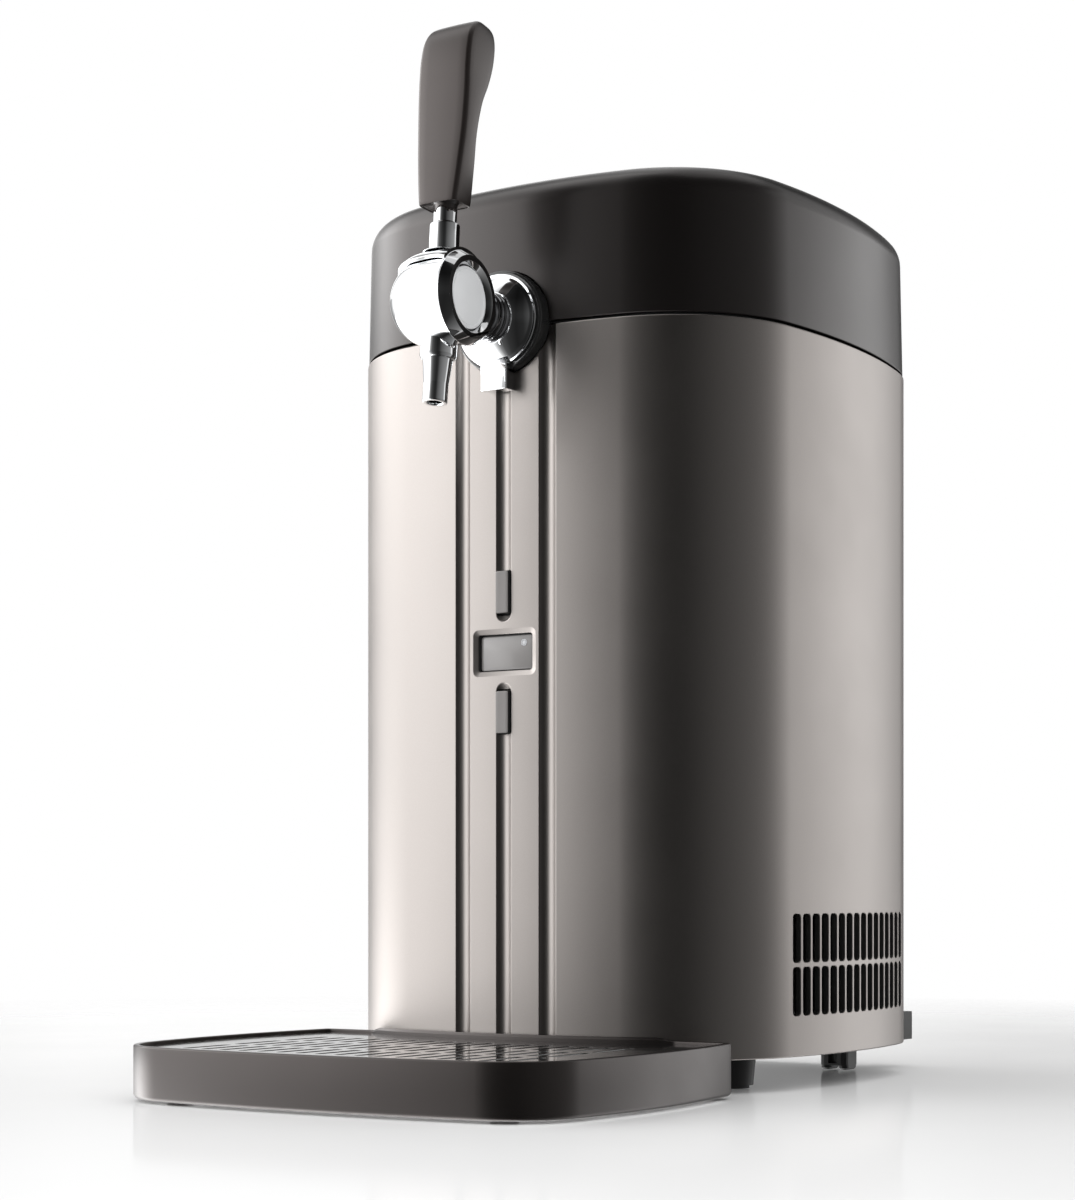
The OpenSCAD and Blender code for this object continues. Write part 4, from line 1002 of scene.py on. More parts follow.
class KEG_OT_housing(bpy.types.Operator):
    """Makes the oval housing with its grooves, its recess, its vents and its rear openings"""

    bl_idname = "keg.housing"
    bl_label = "Housing"

    def execute(self, context):
        scene = context.scene
        self.sizes, self.panel, self.tap = scene.keg_housing, scene.keg_panel, scene.keg_tap
        self.oval = Oval(self.sizes)
        self.middle_z = (WINDOW_LOW.z + WINDOW_HIGH.z) / 2
        slab = Slab()
        self.edges(slab)
        self.front_openings(slab)
        self.vents(slab)
        self.rear_openings(slab)
        slab.skins()
        slab.cut(self.cuts())
        upper, lower = self.nose_levels()
        noses = [end + way * k * 0.4 * MM for end, way in ((upper, 1), (lower, -1))
                 for k in range(-1, 15)]
        near = self.sizes.channel_w / 2 + 0.8 * MM
        slab.cut(noses, axis=1, keep=lambda c: abs(c.x) < near)
        # The paint ends at this depth in the wall
        painted = 1.2 * MM
        for f in slab.mesh.faces:
            f.material_index = int(f.calc_center_median().z > painted)
        piece("housing_shell", slab.bend(self.form), ["body", "black"], "cabinet",
              ["outer_housing"], normals=slab.normal)
        return {"FINISHED"}

    def edges(self, slab):
        """The lower edge with the power inlet's notch, and the upper one with the tap collar's."""
        left, right = self.oval.ends
        profile = edge_profile(self.sizes.edge_r, self.sizes.wall)
        inlet_low, inlet_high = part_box("power_inlet")
        gap, corner = 0.3 * MM, 1.2 * MM
        sides = sorted(self.oval.across_back(x) for x in (inlet_low.x - gap, inlet_high.x + gap))

        def low(d):
            level, roof = HOUSE_LOW.z + d, inlet_high.z + gap - corner
            return [Vector((left, level)), Vector((sides[0] - d, level)),
                    *arc((sides[0] + corner, roof), corner + d, math.pi, math.pi / 2, 3),
                    *arc((sides[1] - corner, roof), corner + d, math.pi / 2, 0, 3),
                    Vector((sides[1] + d, level)), Vector((right, level))]

        def high(d):
            level = HOUSE_HIGH.z - d
            notch = collar_notch(level, self.tap.collar_r + NOTCH_GAP + d, 2 * math.pi, 24)
            return [Vector((left, level)), *notch, Vector((right, level))]
        slab.border(low, profile, high, profile)

    def front_openings(self, slab):
        """The display's recess with its wide sloping rim, and the buttons' holes."""
        panel, wall = self.panel, self.sizes.wall
        slope, foot_depth, upright = panel.recess_slope, panel.recess_rim, math.pi / 2
        lip, step = 0.9 * MM, 0.1 * MM
        curve = [(lip * (1 - math.sin(a)), lip * (1 - math.cos(a)), a)
                 for a in (slope * i / 5 for i in range(6))]
        start_d, start_depth, _ = curve[-1]
        run = (foot_depth - start_depth) / math.tan(slope)
        foot = start_d - run - step
        # The rim's slope, the corner at its foot, and the wall down to the window
        sides = [(start_d - run * 0.85, between(start_depth, foot_depth, 0.85), slope),
                 (foot + step, foot_depth, (slope + upright) / 2),
                 (foot, foot_depth + 0.25 * MM, upright), (foot, wall, upright)]
        profile = [(d - foot, depth, turn) for d, depth, turn in curve + sides]
        width, height = (size - 2 * profile[0][0] for size in (panel.display_w, panel.display_h))

        def recess(d):
            corner = panel.recess_corner + d * 0.65
            return rounded(width + 2 * d, height + 2 * d, corner, (0, self.middle_z), 6)
        slab.opening(recess, profile)
        for low, high, way in ((UPPER_LOW, UPPER_HIGH, -1), (LOWER_LOW, LOWER_HIGH, 1)):
            middle = (low.z + high.z) / 2 + way * 0.35 * MM
            size = (panel.button_w + 0.6 * MM, panel.button_h + 0.9 * MM)

            def hole(d, size=size, middle=middle):
                return rounded(size[0] + 2 * d, size[1] + 2 * d, 0.9 * MM + d, (0, middle), 3)
            slab.opening(hole, edge_profile(0.25 * MM, wall, 2))

    def vents(self, slab):
        """Two rows of slots on each side."""
        sizes = self.sizes
        profile = edge_profile(0.5 * MM, sizes.wall, 2)
        first = sizes.vent_shift - (sizes.vent_count - 1) * sizes.vent_pitch / 2
        for right in (True, False):
            for row in range(2):
                z = sizes.vent_top - sizes.vent_h / 2 - row * (sizes.vent_h + sizes.vent_bar)
                for i in range(sizes.vent_count):
                    s = self.oval.side(first + i * sizes.vent_pitch, right)

                    def slot(d, s=s, z=z):
                        return rounded(sizes.vent_w + 2 * d, sizes.vent_h + 2 * d, 1.9 * MM + d,
                                       (s, z), 3)
                    slab.opening(slot, profile)

    def rear_openings(self, slab):
        """The round window behind the grille."""
        low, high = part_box("rear_grille")
        radius = (high.z - low.z) / 2 + 0.2 * MM
        profile = edge_profile(0.4 * MM, self.sizes.wall, 2)

        def window(d):
            return arc((-self.oval.length / 2, (low.z + high.z) / 2), radius + d, 0,
                       2 * math.pi, 64)[:-1]
        slab.opening(window, profile)

    def nose_levels(self):
        """The levels of the ends of the middle channel, above and below the display."""
        reach = (UPPER_LOW.z + UPPER_HIGH.z) / 2 - self.middle_z - self.panel.button_h / 2
        reach -= self.sizes.channel_nose
        return self.middle_z + reach, self.middle_z - reach

    def cuts(self):
        """Where the pattern is cut: round the oval, and closer across the grooves."""
        sizes = self.sizes
        found = self.oval.stations()
        for middle, width in ((-sizes.groove_x, sizes.groove_w), (sizes.groove_x, sizes.groove_w),
                              (0.0, sizes.channel_w)):
            half = width / 2
            steps = [half + k * 0.12 * MM for k in range(-3, 4)] + [
                half * (1 - k / 9) for k in range(1, 9)]
            found += [middle + side * x for x in steps for side in (-1, 1)] + [middle]
        found.sort()
        kept = [found[0]]
        for s in found[1:]:
            if s - kept[-1] > 0.04 * MM:
                kept.append(s)
        return kept

    def hollow(self, s, z):
        """How deep the grooves are at a place, and their slopes round and up."""
        sizes = self.sizes
        for middle in (-sizes.groove_x, sizes.groove_x):
            depth, slope = trough(s - middle, sizes.groove_w / 2, sizes.groove_depth)
            if depth:
                return depth, slope, 0.0
        half, channel_depth = sizes.channel_w / 2, sizes.groove_depth * 0.9
        upper, lower = self.nose_levels()
        upper, lower = upper + half, lower - half
        if not lower < z < upper:
            return *trough(s, half, channel_depth), 0.0
        # The channel ends in half a bowl next to each button
        way = Vector((s, z - (upper if z > (upper + lower) / 2 else lower)))
        depth, slope = trough(way.length, half, channel_depth)
        return depth, *(slope * way.normalized())

    def form(self, co, normal):
        """The place and normal of a point of the flat pattern on the housing."""
        out = self.oval.at(co.x)[1]
        round_way = Vector((-out.y, out.x, 0))
        depth, slope_s, slope_z = self.hollow(co.x, co.y)
        share = 1 - co.z / self.sizes.wall
        point = self.oval.at(co.x, co.z + depth * share)[0] + UP * co.y
        face = out + (round_way * slope_s + UP * slope_z) * share
        return point, round_way * normal.x + UP * normal.y - face * normal.z


class KEG_OT_panel(bpy.types.Operator):
    """Makes the display's window, its lamp ring and the two buttons"""

    bl_idname = "keg.panel"
    bl_label = "Panel"

    def execute(self, context):
        panel = context.scene.keg_panel
        self.window(panel)
        for low, high, body in ((UPPER_LOW, UPPER_HIGH, "button_upper"),
                                (LOWER_LOW, LOWER_HIGH, "button_lower")):
            self.button(panel, low, high, body)
        return {"FINISHED"}

    def window(self, panel):
        """A flat plate with a fine edge, in front of the display."""
        middle = (WINDOW_LOW + WINDOW_HIGH) / 2
        size = (WINDOW_HIGH.x - WINDOW_LOW.x, WINDOW_HIGH.z - WINDOW_LOW.z)
        rings = []
        for inset, y in ((0, WINDOW_HIGH.y), (0, WINDOW_LOW.y + 0.25 * MM),
                         (0.08 * MM, WINDOW_LOW.y + 0.08 * MM), (0.25 * MM, WINDOW_LOW.y)):
            rings.append([Vector((p.x, y, p.y + middle.z)) for p in
                          rounded(size[0] - 2 * inset, size[1] - 2 * inset, 1.3 * MM, steps=5)])
        piece("window_plate", solid(rings), "window", "cabinet", ["display_window"],
              sharp=50)
        lamp = (WINDOW_HIGH.x - 5.4 * MM, WINDOW_LOW.y, middle.z + 4.6 * MM)
        r = panel.ring_r / MM
        ring = lathe([(r - 0.45, 0), (r - 0.35, 0.22), (r, 0.22), (r + 0.1, 0)], 32, 0.1)
        lens = lathe([(0, 0.12), (r * 0.4, 0.1), (r * 0.66, 0)], 32)
        front = Matrix.Translation(lamp) @ Matrix.Rotation(math.pi / 2, 4, "X")
        piece("lamp_ring", merged(ring, lens), "lamp", "cabinet", place=front)

    def button(self, panel, low, high, body):
        """A button whose grey face stands on black sides, with the flange that keeps it in. The black
        sides are painted shade beside the raised face.
        """
        middle = (low.z + high.z) / 2
        inset, flange = panel.button_draft, 2 * MM
        # Each slice: how far its sides and its ends move in, and its place in depth
        slices = [(-flange, -flange, high.y), (-flange, -flange, high.y - 2.1 * MM)]
        slices += [(d, 0.6 * d, y) for d, y in (
            (0, high.y - 2.1 * MM), (0, low.y + 1.6 * MM), (inset - 0.35 * MM, low.y + 0.4 * MM),
            (inset - 0.2 * MM, low.y + 0.12 * MM), (inset, low.y),
            (inset + 1.2 * MM, low.y + 0.1 * MM))]
        made = solid([[Vector((p.x, y, p.y + middle)) for p in rounded(
            panel.button_w - 2 * side, panel.button_h - 2 * end,
            0.4 * MM if side < 0 else max(0.4 * MM, 0.9 * MM - side * 0.3))]
            for side, end, y in slices])
        # Every face behind the grey front takes the black finish: painted shade on the button's sides
        for f in made.faces:
            if f.calc_center_median().y > low.y + 0.45 * MM:
                f.material_index = 1
        piece(body + "_cap", made, ["button", "black"], body, [body], sharp=50)


# ---- Lid ----

class KEG_OT_lid(bpy.types.Operator):
    """Makes the lid's shell, which follows the housing and has a broad round top edge"""

    bl_idname = "keg.lid"
    bl_label = "Lid"

    def execute(self, context):
        scene = context.scene
        self.sizes, self.collar_r = scene.keg_lid, scene.keg_tap.collar_r
        self.oval = Oval(scene.keg_housing)
        self.top_z = LID_HIGH.z + self.sizes.rise
        self.round_z = self.top_z - self.sizes.edge_r
        self.arc_l = self.sizes.edge_r * math.pi / 2
        self.pattern_top = self.round_z + self.arc_l
        slab = Slab()
        self.edges(slab)
        slab.skins()
        stations = self.oval.stations()
        slab.cut(stations)
        slab.cut([self.round_z + self.arc_l * k / 10 for k in range(10)], axis=1)
        left, right = self.oval.ends
        self.crown(slab, [left, *stations, right])
        piece("lid_cover", slab.bend(self.form), "lid", "lid", ["lid_shell"],
              normals=slab.normal)
        dress(["lid_liner"], "black", 0.6 * MM)
        dress(["lid_insulation"], "foam")
        dress(["lid_gasket"], "rubber", 0.4 * MM)
        return {"FINISHED"}

    def edges(self, slab):
        """The lower edge with the notch over the tap's collar, and the pattern's upper end."""
        left, right = self.oval.ends

        def low(d):
            level = LID_LOW.z + d
            notch = collar_notch(level, self.collar_r + NOTCH_GAP + d, 0, 32)
            return [Vector((left, level)), *notch, Vector((right, level))]
        first = slab.rim(low, edge_profile(0.5 * MM, self.sizes.wall), closed=False)
        for edge, depth, turn, skins in zip(first, (0.0, self.sizes.wall), (0, math.pi),
                                            (slab.outer, slab.inner)):
            end = [Vector((s, self.pattern_top)) for s in (right, left)]
            skins.append(edge + slab.ring(end, depth, [Vector((0, 0))] * 2, turn))

    def crown(self, slab, stations):
        """The lid's top: rings that close in on its middle, written as steps past the arc's end."""
        top, rings = self.pattern_top, 9
        rows = [slab.ring([Vector((s, top + k / rings)) for s in stations], 0.0,
                          [Vector((0, 0))] * len(stations), 0) for k in range(rings)]
        slab.strips(rows, closed=False)
        middle = slab.ring([Vector((0, top + 1.0))], 0.0, [Vector((0, 0))], 0)[0]
        for a, b in zip(rows[-1], rows[-1][1:]):
            slab.mesh.faces.new((a, b, middle))

    def form(self, co, normal):
        """The place and normal of a point of the flat pattern on the lid."""
        sizes = self.sizes
        out = self.oval.at(co.x)[1]
        if co.y <= self.round_z + 1e-7:
            height = self.round_z - LID_LOW.z
            share = (co.y - LID_LOW.z) / height
            point = self.oval.at(co.x, sizes.inset + sizes.draft * share + co.z)[0] + UP * co.y
            face = out + UP * (sizes.draft / height)
            return point, Vector((-out.y, out.x, 0)) * normal.x + UP * normal.y - face * normal.z
        rim_in = sizes.inset + sizes.draft + sizes.edge_r
        if co.y <= self.pattern_top + 1e-7:
            turn = (co.y - self.round_z) / sizes.edge_r
            r = sizes.edge_r - co.z
            point = self.oval.at(co.x, rim_in - r * math.cos(turn))[0]
            point.z = self.round_z + r * math.sin(turn)
            return point, (out * math.cos(turn) + UP * math.sin(turn)) * -normal.z
        # The share of the way from the lid's middle out to the rounding
        share = 1 - (co.y - self.pattern_top)
        middle = Vector((0, HOUSE_MIDDLE_Y, 0))
        way = self.oval.at(co.x, rim_in)[0] - middle
        point = middle + way * share + UP * (self.top_z + sizes.crown * (1 - share ** 2))
        return point, UP + out * (2 * sizes.crown * share / way.length)


# ---- Tap ----

# The saddle's lower edge: place along the barrel, and level over its axis, in millimetres
SADDLE_EDGE = [(-23.5, 10.2), (-22, 12.0), (-19.5, 13.4), (-16, 14.4), (-11, 15.1), (-5, 15.6),
               (1, 16.2), (5, 16.3), (9, 15.7), (12.5, 14.0)]
# How far the cheek's ring reaches along the barrel, and the radius of the plug's neck in it
CHEEK_REACH, CHEEK_BORE = 5.2, 8.0


def from_pivot(corner, axis):
    """How far a corner of a node's box lies past the lever's axis, in millimetres."""
    return (corner[axis] - LEVER_PIVOT[axis]) / MM


class KEG_OT_tap(bpy.types.Operator):
    """Makes the tap: collar, flange, shank, barrel, spout, plug, saddle and rod"""

    bl_idname = "keg.tap"
    bl_label = "Tap"

    def execute(self, context):
        self.tap = tap = context.scene.keg_tap
        self.lever, self.lever_side = (along(axis, -tap.lever_lean) for axis in ("Z", "X"))
        self.to_house = along("Y")
        self.barrel_r, self.shank_r, self.neck_r, self.channel_r = (
            x / MM for x in (tap.barrel_r, tap.shank_r, tap.neck_r, tap.channel_r))
        # Places along the barrel: the cheek's crest, the face of the disc in it, and its start
        self.head = from_pivot(PLUG_HIGH, 0)
        self.face = self.head - tap.disc_depth / MM
        self.cheek_start = self.head - CHEEK_REACH
        self.saddle_r = (tap.barrel_r + tap.saddle_gap) / MM
        self.saddle_top = self.saddle_r + tap.saddle_t / MM
        for make in (self.collar, self.flange, self.shank, self.barrel, self.spout, self.plug,
                     self.cap, self.cheek, self.rod):
            make()
        dress(["plug_seals"], "rubber")
        dress(["tap_nut", "hose_barb"], "steel", 0.3 * MM)
        return {"FINISHED"}

    def collar(self):
        """The black collar that the notch holds, with a soft front edge."""
        r, neck = self.tap.collar_r / MM, self.neck_r + 0.1
        front, back = from_pivot(COLLAR_LOW, 1), from_pivot(COLLAR_HIGH, 1)
        profile = [(neck, back), (neck, front), (r - 1.2, front), (r - 0.3, front + 0.5),
                   (r, front + 1.8), (r, back - 3.5), (r + 2, back - 3.5), (r + 2, back),
                   (neck, back)]
        piece("collar_ring", lathe(profile, 96, 0.3), "gloss_black", "cabinet",
              ["tap_collar"], self.to_house, 38)

    def flange(self):
        """The domed flange with its thin rim, and the tab under it."""
        r, neck = self.tap.flange_r / MM, self.neck_r + 0.1
        front, back = from_pivot(FLANGE_LOW, 1), from_pivot(COLLAR_LOW, 1)
        rim = 1.8
        dome, foot = back - rim - front, r - 1.4
        run = foot - self.shank_r - 0.4
        # The dome's slope falls from its foot to its crest
        bulge = [(foot - run * t, back - rim - dome * (t + 0.3 * t * (1 - t)))
                 for t in (i / 12 for i in range(13))]
        profile = [(neck, back), (r - 0.3, back), (r, back - 0.3), (r, back - rim + 0.35),
                   (r - 0.3, back - rim), (foot + 0.25, back - rim), (foot, back - rim - 0.25),
                   *bulge[1:], (neck, front)]
        ring = lathe(profile, 128, place=self.to_house)
        half, tab_y, foot_z = self.tap.tab_w / 2, COLLAR_LOW.y, FLANGE_LOW.z
        tab = block((-half, tab_y - 4.2 * MM, foot_z),
                    (half, tab_y - 0.1 * MM, LEVER_PIVOT.z - 19.5 * MM), 0.6 * MM)
        tongue = block((-half + 0.4 * MM, tab_y - 1.0 * MM, foot_z + 0.3 * MM),
                       (half - 0.4 * MM, HOUSE_LOW.y - 0.15 * MM, foot_z + 9.2 * MM), 0.4 * MM)
        piece("flange_ring", merged(ring, tab, tongue), "chrome", "cabinet",
              ["tap_flange"], sharp=32)

    def shank(self):
        """The ridged shank between barrel and flange, and its neck through the housing."""
        r, neck, bore = self.shank_r, self.neck_r, self.channel_r
        start, end = from_pivot(SHANK_LOW, 1), from_pivot(SHANK_HIGH, 1)
        flange = from_pivot(FLANGE_LOW, 1)
        grooves = []
        for share in (0.4, 0.7):
            y = between(start, flange, share)
            grooves += [(r, y), (r - 0.7, y + 0.35), (r - 0.7, y + 0.85), (r, y + 1.2)]
        profile = [(bore, end), (bore, start), (r + 0.8, start), (r + 0.8, start + 1.3),
                   (r, start + 1.9), *grooves, (r, flange), (neck, flange), (neck, end), (bore, end)]
        piece("shank", lathe(profile, 96, 0.22), "dark_chrome", "cabinet", ["tap_shank"],
              self.to_house, 38)

    def barrel(self):
        """The barrel with its ball for a left end, and the stub that meets the shank."""
        r, middle = self.barrel_r, self.barrel_r - self.tap.barrel_reach / MM
        left, right = from_pivot(BARREL_LOW, 0) + 3.6, from_pivot(BARREL_HIGH, 0)
        bore = from_pivot(PLUG_HIGH, 2) - 2.6
        profile = [(r * math.sin(a), middle - r * math.cos(a)) for a in quarter(24)]
        profile += [(r, right - 0.4), (r - 0.4, right), (bore, right), (bore, left), (0, left)]
        shell = lathe(profile, 128, place=along("X"))
        start, stub_r = from_pivot(SHANK_LOW, 1), self.shank_r - 1
        stub = [(0, 12), (stub_r + 1.6, 12), (stub_r + 1.6, 16.4), (stub_r + 0.4, 19.3),
                (stub_r, 20.6), (stub_r, start), (0, start)]
        neck = lathe(stub, 96, 0.6, self.to_house)
        piece("barrel_shell", merged(shell, neck), "chrome", "cabinet", ["tap_barrel"])

    def spout(self):
        """The spout: its collar, its taper and the open tip."""
        r, tip_r, bore = self.barrel_r, self.tap.spout_r / MM, self.channel_r
        tip = -from_pivot(SPOUT_LOW, 2) / math.cos(self.tap.spout_lean) - 0.7
        profile = [(bore, r - 4), (8.7, r - 4), (8.7, r + 5.6), (7.9, r + 7.0), (7.2, r + 7.2),
                   (7.1, r + 7.8), (tip_r, tip - 9), (tip_r, tip - 0.5), (tip_r - 0.4, tip),
                   (bore + 0.5, tip), (bore, tip - 0.6), (bore, r - 4)]
        piece("spout_tube", lathe(profile, 96, 0.3), "chrome", "cabinet", ["spout"],
              along("-Z", -self.tap.spout_lean), 38)

    def plug(self):
        """The turning plug, whose pearly disc shows inside the cheek's ring."""
        left, disc_r, neck = from_pivot(PLUG_LOW, 0), from_pivot(PLUG_HIGH, 2), CHEEK_BORE
        r, cheek, face = disc_r - 2.6, self.cheek_start, self.face
        profile = [(0, left), (r - 0.8, left), (r, left + 0.8), (r, cheek), (neck, cheek),
                   (neck, face - 1.2), (disc_r, face - 1.2), (disc_r, face - 0.3),
                   (disc_r - 0.3, face), (disc_r - 1.3, face), (disc_r - 1.5, face - 0.25),
                   (disc_r - 1.9, face - 0.25), (disc_r - 2.1, face), (disc_r * 0.5, face + 0.25),
                   (0, face + 0.3)]
        made = lathe(profile, 128)
        for f in made.faces:
            f.material_index = int(f.calc_center_median().z > (face - 0.35) * MM)
        piece("plug_body", made, ["chrome", "pearl"], "lever", ["valve_plug"],
              self.lever_side, 30)

    def cheek(self):
        """The chamfered ring round the plug's disc, and the rod's seat on the saddle's top."""
        rim, flat, crest = (x / MM for x in (self.tap.cheek_r, self.tap.cheek_flat,
                                             self.tap.crest_r))
        head, start, bore, face = self.head, self.cheek_start, CHEEK_BORE + 0.05, self.face - 0.6
        ring = [(bore, start), (rim - 0.5, start), (rim, start + 0.5), (rim, head - 4.5),
                (rim - 0.15, head - 4.2), (flat + 0.2, head - 0.3), (flat, head), (crest, head),
                (crest - 0.25, head - 0.2), (crest - 1.8, face), (bore, face), (bore, start)]
        top = self.saddle_top
        seat = [(0, top - 1.0), (10.4, top - 1.0), (10.0, top - 0.45), (8.2, top + 0.1),
                (7.6, top + 0.25), (0, top + 0.25)]
        made = merged(lathe(ring, 128, place=self.lever_side), lathe(seat, 96, 0.3, self.lever))
        piece("saddle_cheek", made, "chrome", "lever", ["lever_saddle"], sharp=32)

    def cap(self):
        """The saddle's sheet on the barrel's ball and its straight part, from its left tip to the
        cheek. Each section is the outer skin, a rounded edge, the inner skin and the other edge."""
        inner, thick = self.saddle_r, self.tap.saddle_t / MM
        middle = self.barrel_r - self.tap.barrel_reach / MM
        tip = middle - math.sqrt(inner ** 2 - SADDLE_EDGE[0][1] ** 2)
        rings, steps = [], 40
        for k in range(steps + 1):
            x = between(tip, self.cheek_start + 0.6, (k / steps) ** 1.8)
            lean = math.asin(min(1.0, max(0.0, middle - x) / inner))
            base, low = inner * math.cos(lean), self.arch(x)
            half = math.acos(low / base) if base > low else 0.004
            ring = []
            for side, skin in ((1, thick), (-1, 0.0)):
                spots = [(half * (2 * i / steps - 1), skin) for i in range(steps + 1)]
                spots += [(half + thick * math.sin(a) / 2 / inner,
                           thick * (1 + side * math.cos(a)) / 2)
                          for a in (math.pi * i / 6 for i in range(1, 6))]
                for turn, off in spots:
                    r = base + off * math.cos(lean)
                    ring.append(Vector((x - off * math.sin(lean), r * math.sin(side * turn),
                                        r * math.cos(turn))) * MM)
            rings.append(ring)
        piece("saddle_cap", solid(rings), "chrome", "lever", place=self.lever, sharp=40)

    def arch(self, x):
        """The level of the saddle's lower edge at a place along the barrel, in millimetres."""
        x = min(max(x, SADDLE_EDGE[0][0]), SADDLE_EDGE[-1][0])
        i = next(k for k in range(1, len(SADDLE_EDGE)) if x <= SADDLE_EDGE[k][0])
        (a, low), (b, high) = SADDLE_EDGE[i - 1:i + 1]
        return between(low, high, (x - a) / (b - a))

    def rod(self):
        """The ferrule and the rod that carries the handle."""
        foot = self.saddle_top + 0.3
        top = foot + 13
        end = self.tap.handle_rise / MM + 14
        profile = [(0, foot), (7.2, foot), (7.2, top - 0.6), (6.7, top), (5.6, top + 0.3),
                   (5.6, end), (0, end)]
        piece("rod_turned", lathe(profile, 64, 0.35), "chrome", "lever", ["lever_rod"],
              self.lever, 38)


# ---- Handle ----

# Each slice: its front and back edge as (Y in millimetres, share of the height), and its width
HANDLE_SLICES = [
    ((-7.4, 0.000), (5.4, 0.000), 20.0), ((-8.1, 0.010), (6.1, 0.010), 21.4),
    ((-7.6, 0.20), (5.4, 0.20), 24.8), ((-6.9, 0.38), (4.9, 0.37), 27.2),
    ((-6.7, 0.555), (7.4, 0.53), 28.4), ((-6.7, 0.68), (12.2, 0.65), 28.4),
    ((-6.2, 0.77), (15.2, 0.75), 28.3), ((-4.6, 0.86), (16.8, 0.84), 27.6),
    ((-1.2, 0.925), (17.4, 0.905), 26.0), ((3.8, 0.965), (17.2, 0.95), 23.0),
    ((8.2, 0.985), (16.2, 0.98), 17.8), ((12.2, 0.996), (14.8, 0.995), 9.5)]


def run_through(values, t):
    """A smooth curve through rows of numbers, at t from 0 to 1."""
    place = t * (len(values) - 1)
    i = min(int(place), len(values) - 2)
    f = place - i
    four = [values[min(max(k, 0), len(values) - 1)] for k in (i - 1, i, i + 1, i + 2)]
    return [0.5 * (2 * b + (c - a) * f + (2 * a - 5 * b + 4 * c - d) * f * f
                   + (3 * b - a - 3 * c + d) * f ** 3) for a, b, c, d in zip(*four)]


class KEG_OT_handle(bpy.types.Operator):
    """Makes the handle, lofted from its bevelled foot to its crown"""

    bl_idname = "keg.handle"
    bl_label = "Handle"

    def execute(self, context):
        tap = context.scene.keg_tap
        rows, steps = [(*front, *back, width) for front, back, width in HANDLE_SLICES], 66
        rings = [self.ring(tap, *run_through(rows, k / steps)) for k in range(steps + 1)]
        piece("handle_grip", solid(rings), "handle", "lever", ["handle"],
              along("Z", -tap.lever_lean), sharp=55)
        return {"FINISHED"}

    def ring(self, tap, front_y, front_z, back_y, back_z, width):
        """A slice with slightly swelling faces and crisp, softened corners."""
        depth = back_y - front_y
        points = []
        for p in self.outline(width, depth, min(1.9, 0.22 * min(width, depth))):
            out, back = 2 * p.x / width, 2 * p.y / depth
            x = p.x * (1 + 0.035 * (1 - back ** 2))
            y = (front_y + back_y) / 2 + p.y + math.copysign(0.45, back) * (1 - out ** 2) * back ** 6
            level = between(front_z, back_z, (back + 1) / 2)
            points.append(Vector((x * MM, y * MM, tap.handle_rise + tap.handle_h * level)))
        return points

    def outline(self, width, depth, radius):
        """A rectangle with round corners whose straight sides have points on them too."""
        corners = rounded(width, depth, radius, steps=5)
        points = []
        for a, b in zip(corners, corners[1:] + corners[:1]):
            points.append(a)
            if (b - a).length > radius * 1.2 or min(abs(a.x - b.x), abs(a.y - b.y)) < 1e-6:
                points += [a.lerp(b, i / 6) for i in range(1, 6)]
        return points


# ---- Drip tray ----

